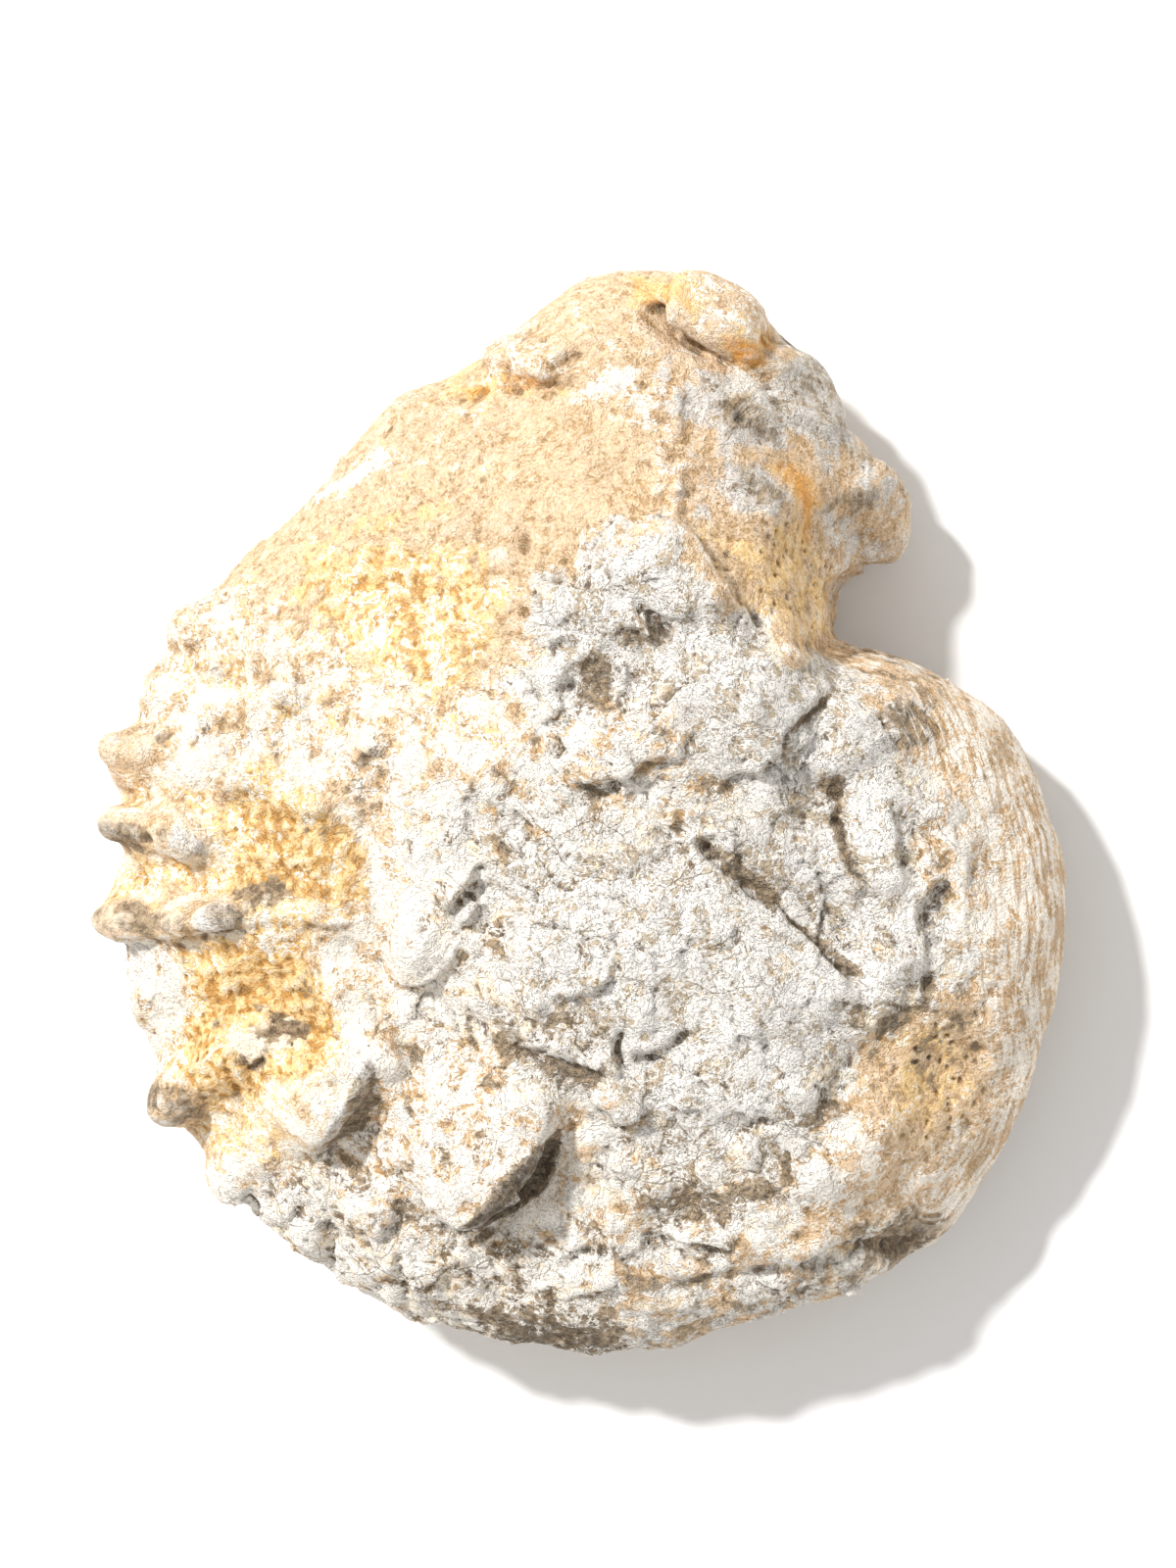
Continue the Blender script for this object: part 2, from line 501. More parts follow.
def nearest_on_path(places: np.ndarray, path: Path) -> tuple[np.ndarray, np.ndarray]:
    """Where places lie about a path.

    Args:
        places: plan positions, one row each.
        path: the path's points.

    Returns:
        The distance, positive to the left of the path's travel where the second axis points down,
        and the share of the way along it.
    """
    points = points_of(path)
    best, side, along = (np.full(len(places), np.inf), np.zeros(len(places)), np.zeros(len(places)))
    for k, (a, b) in enumerate(zip(points[:-1], points[1:])):
        run = b - a
        t = np.clip(((places - a) @ run) / (run @ run), 0.0, 1.0)
        off = places - (a + t[:, None] * run)
        distance = np.hypot(off[:, 0], off[:, 1])
        left = run[1] * (places[:, 0] - a[0]) - run[0] * (places[:, 1] - a[1])
        closer = distance < best
        best = np.where(closer, distance, best)
        side = np.where(closer, np.where(left >= 0, 1.0, -1.0), side)
        along = np.where(closer, k + t, along)
    return best * side, along / (len(points) - 1)


def inside_depth(places: np.ndarray, outline: Path) -> np.ndarray:
    """How deep places lie in an outline.

    Args:
        places: plan positions, one row each.
        outline: the outline's points.

    Returns:
        The distance to the outline, positive inside it.
    """
    closed = (*outline, *outline[:2])
    distance = np.abs(nearest_on_path(places, closed)[0])
    inside = np.zeros(len(places), bool)
    points = points_of(closed)
    for (ax, ay), (bx, by) in zip(points[:-1], points[1:]):
        crosses = (ay > places[:, 1]) != (by > places[:, 1])
        at = ax + (places[:, 1] - ay) * (bx - ax) / ((by - ay) or 1.0)
        inside ^= crosses & (places[:, 0] < at)
    return np.where(inside, distance, -distance)


# --- the camera -----------------------------------------------------------------------------------
def placed(name: str, data: Any) -> bpy.types.Object:
    """A new object with this data, at the scene's origin."""
    made = bpy.data.objects.new(name, data)
    bpy.context.scene.collection.objects.link(made)
    return made


@dataclass(frozen=True)
class TableCamera:
    """A camera that looks down on the stone, leaning a little to its right."""

    target: tuple[float, float, float] = (1.9, 3.6, 22.0)
    distance: float = 420.0
    lean: float = 8.0  # degrees from straight down
    lens: float = 84.0
    sensor: float = 36.0  # spans the frame's height

    @property
    def axes(self) -> np.ndarray:
        """Rows: right, up and back, as unit vectors."""
        lean = math.radians(self.lean)
        across, back = math.cos(lean), math.sin(lean)
        return np.array([(across, 0.0, -back), (0.0, 1.0, 0.0), (back, 0.0, across)])

    @property
    def point(self) -> float:
        """The size of one frame point at the target, in millimetres."""
        return self.distance * self.sensor / self.lens / FRAME[1]

    @property
    def eye(self) -> np.ndarray:
        """Where it stands, in millimetres."""
        return np.array(self.target) + self.distance * self.axes[2]

    def frame_points(self, places: np.ndarray) -> np.ndarray:
        """Where it sees places.

        Args:
            places: positions in millimetres, one row each.

        Returns:
            Their frame points, one row each.
        """
        seen = (places - self.eye) @ self.axes.T
        scale = FRAME[1] * self.lens / self.sensor
        across = FRAME[0] / 2 + scale * seen[:, 0] / -seen[:, 2]
        down = FRAME[1] / 2 - scale * seen[:, 1] / -seen[:, 2]
        return np.column_stack([across, down])

    def build(self) -> bpy.types.Object:
        """Adds the camera and makes it the scene's.

        Returns:
            The camera.
        """
        data = bpy.data.cameras.new("table_camera")
        data.sensor_width, data.lens = self.sensor, self.lens
        data.clip_start, data.clip_end = 0.01, 20.0
        camera = placed("table_camera", data)
        turn = Matrix([Vector(row) for row in self.axes]).transposed().to_4x4()
        camera.matrix_world = Matrix.Translation(Vector(self.eye * MM)) @ turn
        bpy.context.scene.camera = camera
        return camera


# --- relief worked in by hand ---------------------------------------------------------------------
@dataclass(frozen=True)
class Mark:
    """A shape on the upper face that moves its surface in or out."""

    points: Path

    def reach(self) -> float:
        """How far beyond its points it works, in millimetres."""
        return 3.0

    def height(self, places: np.ndarray, point: float) -> np.ndarray:
        """How far it moves the surface.

        Args:
            places: frame points, one row each.
            point: the size of one frame point, in millimetres.

        Returns:
            A height in millimetres for each place, negative for a hollow.
        """
        raise NotImplementedError

    def ends(self, along: np.ndarray, sharp: float = 6.0) -> np.ndarray:
        """1 along a path, falling to 0 at both its ends."""
        return smooth(along * sharp) * smooth((1.0 - along) * sharp)


@dataclass(frozen=True)
class Block(Mark):
    """A block of rock inside an outline, with its own leaning top."""

    rise: float = 1.0
    lean: Point = (0.0, 0.0)  # how far its top falls for each millimetre right, and down the frame
    edge: float = 0.8

    def height(self, places: np.ndarray, point: float) -> np.ndarray:
        """The leaning top inside the outline, with short steep sides.

        Args:
            places: frame points, one row each.
            point: the size of one frame point, in millimetres.

        Returns:
            The heights, of its leaning top, with short steep sides.
        """
        off = (places - points_of(self.points).mean(axis=0)) * point
        top = self.rise - self.lean[0] * off[:, 0] - self.lean[1] * off[:, 1]
        return top * smooth(inside_depth(places, self.points) * point / self.edge + 0.5)


@dataclass(frozen=True)
class Ridge(Mark):
    """A rounded ridge along a path."""

    rise: float = 1.0
    width: float = 1.5  # half width
    crest: float = 2.0  # 2 is round, more is flatter with steeper sides
    beads: float = 0.0  # how many lumps it has along its length
    sharp: float = 6.0

    def height(self, places: np.ndarray, point: float) -> np.ndarray:
        """The ridge, with its lumps.

        Args:
            places: frame points, one row each.
            point: the size of one frame point, in millimetres.

        Returns:
            The heights, of the ridge with its lumps.
        """
        side, along = nearest_on_path(places, self.points)
        beads = 1.0 - (0.3 + 0.3 * np.cos(2 * math.pi * self.beads * along) if self.beads else 0.0)
        across = np.abs(side * point / self.width)
        return self.rise * beads * self.ends(along, self.sharp) * np.exp(-(across**self.crest))


@dataclass(frozen=True)
class Crack(Mark):
    """A sharp groove along a path."""

    depth: float = 1.0
    width: float = 0.8  # half width

    def height(self, places: np.ndarray, point: float) -> np.ndarray:
        """The groove, as wide as its width at the surface and sharp at its foot.

        Args:
            places: frame points, one row each.
            point: the size of one frame point, in millimetres.

        Returns:
            The heights, of the groove, as wide as its width at the surface and sharp at its foot.
        """
        side, along = nearest_on_path(places, self.points)
        across = np.clip(1.0 - np.abs(side * point / self.width), 0.0, 1.0)
        return -self.depth * across * self.ends(along, 5.0)


@dataclass(frozen=True)
class Step(Mark):
    """A step along a path: its left side, going along it, stands over its right."""

    rise: float = 1.0
    back: float = 4.0  # how far the high side takes to die away
    foot: float = 0.35  # share of the rise that lies below the old surface
    edge: float = 0.6

    def reach(self) -> float:
        """As far as the high side takes to die away."""
        return 3.0 * self.back

    def height(self, places: np.ndarray, point: float) -> np.ndarray:
        """The high side, its short steep face and the hollow at its foot.

        Args:
            places: frame points, one row each.
            point: the size of one frame point, in millimetres.

        Returns:
            The heights, of the high side, its short steep face and the hollow at its foot.
        """
        side, along = nearest_on_path(places, self.points)
        side = side * point
        lip = smooth(side / self.edge + 0.5) * np.exp(-np.clip(side, 0.0, None) / self.back)
        foot = (1.0 - smooth(side / self.edge + 0.5)) * np.exp(np.clip(side, None, 0.0) / (0.4 * self.back))
        return self.rise * self.ends(along) * ((1.0 - self.foot) * lip - self.foot * foot)


@dataclass(frozen=True)
class Knob(Mark):
    """An oval dome, or an oval pit where its rise is negative. Its one point is its middle."""

    size: Point = (3.0, 2.0)  # half length and half width
    turn: float = 0.0  # degrees, anticlockwise
    rise: float = 1.0
    round: float = 0.7  # 0.5 is a half ball, 1 a cushion, 2 a soft swelling

    def reach(self) -> float:
        """Its half length."""
        return max(self.size)

    def height(self, places: np.ndarray, point: float) -> np.ndarray:
        """The dome.

        Args:
            places: frame points, one row each.
            point: the size of one frame point, in millimetres.

        Returns:
            The heights, of the dome.
        """
        turn = math.radians(self.turn)
        off = (places - points_of(self.points)[0]) * point
        along = off[:, 0] * math.cos(turn) - off[:, 1] * math.sin(turn)
        across = off[:, 0] * math.sin(turn) + off[:, 1] * math.cos(turn)
        out = (along / self.size[0]) ** 2 + (across / self.size[1]) ** 2
        return self.rise * np.clip(1.0 - out, 0.0, 1.0) ** self.round


MARKS: tuple[Mark, ...] = (
    # the broken rock at the hub's upper end
    Block((622, 578, 630, 567, 648, 552, 675, 541, 693, 543, 712, 560, 727, 581, 742, 612, 722, 630,
        684, 646, 676, 632, 655, 616, 634, 606), 1.1, (0.02, 0.06), 2.4),
    Knob((668, 566), (4.2, 2.4), 25, 0.7, 1.3),
    Block((697, 606, 716, 603, 724, 616, 712, 636, 692, 640), 0.0, (0.4, 0.3), 1.6),
    Crack((607, 569, 619, 585, 632, 605, 640, 612), 0.9, 0.6),
    Crack((648, 612, 666, 628, 675, 639, 684, 652), 1.1, 0.5),
    Block((554, 598, 590, 600, 616, 609, 652, 619, 672, 634, 681, 648, 660, 656, 634, 650, 606, 630,
        560, 622), 0.9, (0.0, 0.16), 1.8),
    Knob((654, 636), (2.6, 1.6), -35, 0.8, 1.0),
    Block((549, 690, 585, 658, 590, 668, 584, 722, 553, 733), 0.6, (0.04, 0.0), 1.2),
    Block((588, 662, 606, 650, 630, 668, 627, 700, 606, 726, 586, 722), 0.2, (0.18, 0.03), 1.2),
    Crack((547, 692, 549, 712, 554, 733), 0.8, 0.5),
    Crack((556, 668, 572, 656, 588, 650), 0.7, 0.5),
    Crack((630, 668, 628, 690, 612, 724), 0.6, 0.5),
    Knob((569, 766), (1.8, 0.9), -60, -1.5, 0.8),
    Block((578, 756, 592, 740, 632, 732, 644, 744, 654, 774, 640, 790, 606, 797, 584, 788), 0.8, (0.0,
        0.1), 1.6),
    Block((640, 735, 690, 722, 706, 745, 702, 771, 656, 774, 646, 758), 0.7, (0.0, 0.06), 1.4),
    Crack((642, 756, 652, 778), 1.0, 0.5),
    Crack((708, 746, 701, 760, 699, 774), 1.0, 0.5),
    Step((584, 790, 612, 799, 646, 784, 656, 775, 704, 773), 0.9, 3.0, 0.5, 0.7),
    Crack((676, 786, 665, 798, 665, 816), 0.8, 0.5),
    # the pale slope and the two boulders by the brow, with the crack between them
    Block((661, 657, 684, 648, 706, 637, 726, 633, 744, 640, 756, 657, 764, 690, 770, 730, 752, 780,
        730, 790, 715, 740, 690, 700, 668, 676), 0.7, (-0.02, 0.05), 2.2),
    Block((762, 678, 780, 668, 801, 662, 825, 670, 838, 687, 846, 703, 828, 719, 804, 751, 796, 770,
        764, 786, 758, 730), 1.1, (-0.02, 0.0), 2.2),
    Crack((846, 706, 832, 719, 820, 732, 806, 748, 799, 760, 804, 780), 1.2, 0.5),
    Block((836, 726, 850, 712, 868, 716, 888, 738, 892, 765, 872, 782, 846, 794, 830, 786, 818, 776,
        820, 752), 0.8, (0.0, 0.04), 2.0),
    Crack((890, 728, 905, 748, 920, 766), 0.8, 0.6),
    Step((740, 792, 764, 788, 792, 772), 0.8, 3.0, 0.5, 0.8),
    # the pale slab under its dark edge, and the broken ground on its right
    Step((888, 918, 874, 900, 862, 868, 853, 830, 850, 796), 1.5, 3.0, 0.6, 1.0),
    Block((857, 794, 899, 792, 908, 820, 917, 842, 922, 878, 928, 905, 902, 922, 876, 906, 866, 889,
        859, 862, 855, 830), 0.2, (-0.05, 0.0), 1.4),
    Crack((874, 904, 884, 914, 899, 922), 0.9, 0.5),
    Crack((872, 906, 878, 918, 876, 935), 0.6, 0.5),
    Step((928, 905, 922, 878, 917, 842, 906, 818), 0.7, 2.0, 0.5, 0.7),
    Ridge((904, 796, 932, 818, 962, 822, 986, 836), 0.6, 1.0),
    Ridge((982, 836, 994, 858, 986, 892, 990, 920, 972, 968), 0.6, 1.2),
    Ridge((930, 850, 948, 872, 956, 900, 952, 925), 0.5, 1.0),
    Knob((944, 846), (1.8, 1.0), -50, -0.7, 0.9),
    Knob((934, 884), (0.8, 1.8), 15, -0.7, 0.9),
    Block((955, 905, 970, 900, 976, 925, 966, 966, 950, 972, 942, 940), -0.9, (0.1, 0.0), 1.4),
    Knob((912, 988), (3.2, 2.0), 25, 0.9, 0.9),
    Step((936, 1008, 950, 970, 936, 925), 0.8, 3.0),
    Knob((949, 1006), (1.4, 0.9), 60, -1.4, 0.7),
    # the long cleft and its dark pockets
    Step((884, 998, 861, 981, 832, 960, 806, 935, 786, 926), 1.7, 4.0, 0.5, 0.5),
    Crack((790, 928, 820, 950, 845, 971, 868, 990, 882, 998), 2.2, 0.9),
    Crack((712, 856, 728, 872, 745, 887, 762, 900, 776, 914), 1.2, 0.9),
    Knob((774, 912), (2.3, 1.1), -48, -0.8, 1.2),
    Knob((728, 872), (1.7, 0.8), -48, -0.5, 1.0),
    Step((804, 934, 770, 898, 742, 874, 716, 852), 0.7, 4.0, 0.6, 1.4),
    # the vein, and the slab south of the cleft
    Ridge((646, 872, 690, 862, 720, 852, 762, 842), 0.5, 0.5),
    Knob((760, 1005), (10.0, 6.0), -12, 1.0, 1.5),
    Knob((845, 1020), (4.0, 3.0), 20, 0.7, 1.2),
    Crack((743, 1013, 747, 1037, 757, 1057), 0.8, 0.5),
    Crack((775, 1055, 784, 1071), 0.8, 0.5),
    Crack((708, 960, 722, 985, 738, 1000), 0.5, 0.5),
    Crack((700, 1000, 696, 975, 704, 950), 0.5, 0.5),
    Crack((637, 1048, 634, 1070, 640, 1096), 1.8, 0.8),
    Crack((646, 1082, 660, 1078, 676, 1074), 1.6, 0.6),
    Crack((684, 1064, 694, 1058, 703, 1053), 1.6, 0.6),
    Step((632, 1112, 638, 1090, 672, 1076, 704, 1052), 0.9, 4.0, 0.5, 0.6),
    Block((616, 1126, 636, 1118, 664, 1134, 656, 1148, 636, 1148), 0.9, (0.0, 0.1), 0.9),
    Crack((628, 1148, 640, 1151, 664, 1136), 1.1, 0.5),
    Knob((737, 1112), (0.7, 0.6), 0, -0.7, 0.8),
    # slabs on the hub's left side
    Step((452, 932, 468, 918, 486, 902, 490, 884), 1.4, 3.5, 0.4, 0.7),
    Knob((466, 903), (3.2, 1.6), 45, 0.7, 0.9),
    Knob((480, 930), (2.6, 1.0), 45, 0.5, 0.9),
    Step((402, 1000, 420, 1004, 440, 1000, 462, 985, 468, 955), 0.9, 3.5, 0.4, 0.8),
    Step((560, 1012, 585, 1016, 604, 1012, 622, 990, 624, 968, 604, 948), 1.1, 5.0, 0.4, 0.8),
    Step((500, 1056, 560, 1070, 600, 1084, 640, 1104), 1.1, 5.0, 0.5, 0.8),
    Ridge((520, 1046, 560, 1056, 600, 1074), 0.6, 1.0),
    Block((478, 1020, 500, 1000, 530, 1000, 556, 1018, 540, 1040, 500, 1046), 0.5, (0.0, 0.05), 1.6),
    Step((575, 880, 540, 872, 506, 880), 0.6, 4.0, 0.4, 0.8),
    Step((588, 866, 620, 880, 650, 900), 0.8, 3.0, 0.4, 0.8),
    Step((600, 905, 640, 925, 668, 950), 0.6, 3.0, 0.4, 0.8),
    Step((640, 965, 665, 958, 690, 940), 0.6, 3.0, 0.4, 0.8),
    Knob((502, 805), (2.2, 1.4), 20, 0.6, 0.8),
    Knob((522, 822), (1.6, 1.2), -20, 0.5, 0.8),
    Knob((440, 860), (2.2, 1.5), 30, 0.5, 0.9),
    Step((556, 772, 540, 800, 562, 812, 600, 820), 0.5, 3.0),
    Block((400, 812, 418, 800, 440, 806, 442, 838, 414, 846, 400, 836), 0.5, (0.1, 0.1), 1.0),
    Step((400, 1010, 386, 975, 398, 930, 388, 880, 384, 842), 0.5, 4.0),
    # ribs of the left side, their knobs and the crumbs on them
    Knob((184, 638), (3.4, 2.4), 60, 1.3, 0.7),
    Knob((178, 672), (2.0, 1.4), 10, 0.8, 0.8),
    Knob((148, 716), (2.2, 1.6), 20, 0.9, 0.8),
    Knob((227, 688), (1.0, 1.2), 0, 0.8, 0.7),
    Knob((292, 718), (2.2, 1.2), -15, 0.8, 0.8),
    Knob((375, 762), (1.9, 0.9), 15, 1.1, 0.7),
    Ridge((190, 700, 250, 706, 330, 735, 372, 766), 0.5, 1.6, 2.2, 4),
    Knob((118, 764), (1.7, 2.3), 10, 1.0, 0.6),
    Knob((146, 768), (2.2, 1.9), 0, 1.0, 0.6),
    Ridge((170, 785, 230, 798, 290, 815, 330, 826, 384, 830), 0.6, 1.3, 2.2, 5),
    Knob((322, 825), (1.3, 1.0), 0, 0.8, 0.7),
    Knob((244, 801), (2.6, 1.0), -12, 0.6, 0.8),
    Ridge((92, 842, 120, 843, 146, 846, 176, 860, 206, 874), 1.1, 1.6, 3.0, 0, 10),
    Knob((190, 862), (2.0, 1.2), -35, 0.8, 0.6),
    Knob((154, 855), (0.7, 0.7), 0, -1.3, 0.7),
    Ridge((232, 876, 262, 872, 310, 876, 366, 870), 0.6, 1.0, 2.2, 6),
    Ridge((92, 942, 130, 940, 192, 943), 1.2, 1.5, 3.0, 0, 10),
    Knob((221, 938), (2.8, 1.6), 0, 1.4, 0.55),
    Ridge((240, 930, 270, 920, 300, 926, 345, 936, 386, 938), 0.8, 1.3, 2.2, 6),
    Crack((200, 958, 250, 948, 309, 944, 384, 942), 0.9, 0.7),
    Ridge((310, 938, 350, 938, 384, 936), 0.7, 0.5, 2.0),
    Knob((206, 1008), (1.2, 0.9), 0, 0.9, 0.7),
    Knob((228, 1008), (1.5, 1.0), 0, 1.0, 0.7),
    Knob((268, 1052), (2.2, 2.9), 10, 1.1, 0.8),
    Knob((302, 1000), (1.3, 0.9), 30, 0.9, 0.7),
    Knob((292, 1062), (1.0, 0.7), 60, 0.9, 0.7),
    Crack((276, 1030, 280, 1055, 268, 1078, 240, 1092), 1.2, 0.8),
    Knob((137, 1036), (1.6, 1.3), 0, 0.8, 0.7),
    Knob((330, 975), (1.6, 1.0), 60, 0.5, 0.8),
    Knob((172, 1136), (3.6, 2.0), 28, 1.3, 0.6),
    Ridge((200, 1118, 232, 1098, 262, 1080, 300, 1062), 0.8, 1.2, 2.2, 6),
    Ridge((300, 958, 330, 970, 346, 1000), 0.5, 1.2, 2.0, 3),
    # the two thick ribs with steep dark ends
    Step((320, 1188, 343, 1160, 358, 1134, 371, 1106, 382, 1074), 4.6, 6.0, 0.5, 3.0),
    Knob((398, 1100), (2.0, 4.0), -20, 0.9, 1.2),
    Ridge((270, 1140, 310, 1120, 350, 1100, 380, 1084), 0.8, 2.2, 2.4, 3),
    Step((462, 1262, 490, 1246, 516, 1220, 541, 1194, 568, 1148), 5.4, 9.0, 0.5, 3.2),
    Block((400, 1150, 470, 1110, 540, 1118, 566, 1150, 540, 1190, 480, 1245, 420, 1235), 0.6, (-0.03,
        -0.04), 2.0),
    Crack((332, 1242, 340, 1262, 338, 1296), 2.0, 0.9),
    Block((298, 1246, 316, 1232, 332, 1244, 336, 1290, 320, 1298, 302, 1274), 1.1, (0.05, 0.0), 1.4),
    Block((354, 1216, 378, 1202, 402, 1208, 408, 1240, 386, 1264, 362, 1252), 1.2, (-0.1, -0.1), 1.6),
    Block((366, 1268, 392, 1262, 404, 1290, 384, 1308, 366, 1294), 0.8, (-0.1, -0.1), 1.2),
    Block((412, 1282, 444, 1272, 462, 1290, 452, 1322, 424, 1326), 0.7, (-0.05, 0.0), 1.4),
    Block((198, 1188, 230, 1180, 250, 1190, 244, 1216, 216, 1224, 200, 1208), 0.8, (0.0, -0.1), 1.4),
    Block((262, 1212, 284, 1204, 304, 1214, 300, 1236, 274, 1240), 0.8, (0.0, -0.1), 1.2),
    Step((400, 1334, 412, 1316, 408, 1300, 396, 1296), 1.6, 3.0, 0.5, 0.8),
    Knob((452, 1312), (1.6, 1.0), 30, -1.0, 0.8),
    Step((330, 1226, 352, 1232, 362, 1258), 0.8, 2.5),
    Knob((520, 1290), (2.8, 1.8), 30, 0.7, 1.0),
    Knob((560, 1240), (2.2, 1.4), -30, 0.6, 0.9),
    Knob((585, 1216), (1.2, 0.9), 0, 0.6, 0.8),
    Step((570, 1232, 592, 1240, 606, 1256, 604, 1276), 0.8, 3.0),
    Knob((590, 1282), (1.6, 1.1), 40, -0.9, 0.9),
    Step((500, 1334, 516, 1326, 548, 1330, 560, 1344), -1.0, 3.0),
    Step((640, 1286, 600, 1300, 560, 1298), 0.7, 4.0),
    Ridge((404, 1262, 440, 1268, 480, 1290), 0.6, 1.2, 2.0, 3),
    Knob((412, 1180), (2.0, 1.6), 50, 0.7, 0.9),
    Ridge((424, 1172, 438, 1158, 446, 1148), 0.5, 0.6, 2.0),
    # the broken ground below the hub
    Ridge((622, 1146, 636, 1176, 632, 1206, 644, 1250), 0.6, 0.9),
    Block((652, 1176, 696, 1178, 712, 1215, 706, 1262, 664, 1266, 645, 1215), -0.4, (0.1, 0.0), 2.6),
    Knob((672, 1268), (2.4, 0.9), -10, -1.9, 0.7),
    Knob((724, 1276), (3.2, 0.6), -8, -1.4, 0.8),
    Knob((760, 1176), (2.0, 2.2), 30, 1.0, 0.8),
    Knob((722, 1200), (2.0, 2.0), 0, 0.7, 0.9),
    Block((816, 1192, 838, 1182, 852, 1194, 850, 1216, 822, 1222), 0.9, (0.15, 0.1), 0.5),
    Knob((786, 1240), (1.6, 1.0), 0, 0.9, 0.7),
    Knob((772, 1228), (1.0, 0.8), 0, 0.7, 0.7),
    Crack((806, 1268, 816, 1260, 832, 1250), 1.2, 0.5),
    Crack((730, 1150, 760, 1160, 800, 1140), 0.7, 0.8),
    Step((636, 1300, 701, 1308, 775, 1290, 839, 1278, 870, 1266, 915, 1258, 940, 1246), 1.4, 4.0, 0.4,
        1.0),
    Crack((640, 1270, 700, 1282, 745, 1280), 0.9, 0.6),
    Knob((485, 1330), (2.2, 1.6), 0, 0.8, 0.8),
    Knob((590, 1265), (2.6, 1.8), 40, 0.7, 0.9),
    Knob((700, 1330), (3.0, 1.6), 10, 0.6, 0.9),
    # the shaded shoulder and hollow on the right
    Step((820, 1150, 838, 1112, 866, 1078, 905, 1042, 950, 1006), 1.3, 7.0, 0.5, 4.6),
    Ridge((985, 1172, 1008, 1110, 1022, 1040), 0.4, 2.0),
    Knob((1000, 1070), (1.0, 0.7), 0, -0.8, 0.8),
    Knob((980, 1148), (0.6, 1.4), -10, -0.8, 0.8),
    Crack((1003, 1040, 1010, 1015, 1020, 1000), 0.7, 0.6),
    Knob((935, 735), (3.0, 1.8), 0, -0.8, 1.0),
    Step((1000, 822, 1030, 818, 1040, 816), 0.3, 2.0),
    # the upper-left flank
    Knob((527, 362), (3.0, 2.1), 15, 1.5, 0.7),
    Knob((548, 378), (1.9, 1.1), -25, 0.9, 0.7),
    Knob((512, 376), (1.2, 1.6), 0, 0.8, 0.8),
    Crack((466, 412, 482, 403, 501, 392), 1.2, 0.8),
    Crack((512, 396, 524, 394, 536, 396), 1.8, 0.8),
    Crack((554, 372, 566, 371, 577, 371, 602, 357), 1.5, 0.8),
    Ridge((566, 362, 600, 348, 640, 352), 0.5, 1.3),
    Knob((488, 468), (0.7, 0.5), 40, -0.8, 0.8),
    Knob((488, 490), (0.7, 0.5), 60, -0.8, 0.8),
    Knob((392, 498), (0.7, 0.5), 70, -0.8, 0.8),
    Knob((561, 449), (0.5, 0.5), 0, -0.7, 0.8),
    Knob((456, 554), (0.6, 0.5), 40, -0.7, 0.8),
    Knob((537, 552), (0.8, 1.3), 15, -1.2, 0.8),
    Knob((536, 628), (0.8, 1.3), 10, -1.1, 0.8),
    Knob((398, 440), (1.6, 0.5), 55, -0.8, 0.8),
    Ridge((512, 452, 518, 500, 514, 545, 524, 600, 538, 650), 0.5, 1.7),
    Ridge((320, 574, 380, 560, 430, 548, 480, 520), 0.4, 1.4),
    Crack((345, 596, 390, 590, 440, 596), 0.4, 1.0),
    Knob((522, 570), (1.6, 2.3), 10, 0.6, 0.9),
    Knob((508, 572), (1.1, 1.4), 0, 0.7, 0.8),
    # the mouth's brow and its crumbs
    Step((786, 662, 767, 635, 740, 599, 716, 566, 698, 540, 692, 512, 700, 488, 690, 460, 693, 430,
        690, 398, 662, 376), 1.3, 4.0, 0.4, 1.4),
    Ridge((782, 659, 740, 599, 716, 566, 694, 530, 698, 488, 690, 440, 688, 400), 0.5, 1.2, 2.0, 9),
    Knob((640, 385), (1.8, 1.4), 0, 0.7, 0.7),
    Knob((668, 396), (1.6, 1.3), 0, 0.7, 0.7),
    Knob((655, 412), (1.5, 1.2), 0, 0.7, 0.7),
    Knob((686, 420), (1.4, 1.8), 0, 0.7, 0.7),
    Knob((630, 408), (1.3, 1.1), 0, 0.5, 0.7),
    Knob((695, 477), (0.8, 1.0), 0, 0.8, 0.7),
    Knob((697, 500), (0.9, 0.7), 0, 0.8, 0.7),
    Crack((676, 448, 684, 460, 690, 478, 700, 490), 1.3, 0.9),
    Knob((776, 632), (0.8, 0.9), 0, -1.0, 0.8),
    # the mouth's lip and its lobe
    Block((692, 284, 722, 287, 752, 299, 776, 314, 784, 335, 780, 362, 768, 371, 748, 364, 726, 358,
        704, 344, 682, 317), 1.3, (0.05, 0.05), 1.2),
    Crack((655, 300, 671, 309, 689, 332, 710, 350, 730, 361), 2.4, 1.0),
    Block((785, 344, 815, 356, 845, 380, 863, 422, 860, 446, 839, 437, 812, 425, 794, 398, 782, 371), 0.9,
        (0.05, 0.0), 1.6),
    Knob((760, 424), (0.9, 1.2), 0, -1.2, 0.8),
    Knob((776, 504), (2.2, 1.9), -40, -0.8, 1.2),
    Knob((782, 440), (2.6, 2.0), -30, -0.7, 1.2),
    Knob((885, 515), (3.6, 4.2), 0, 0.8, 1.5),
    Ridge((640, 330, 662, 340, 672, 362), 0.6, 1.4),
)

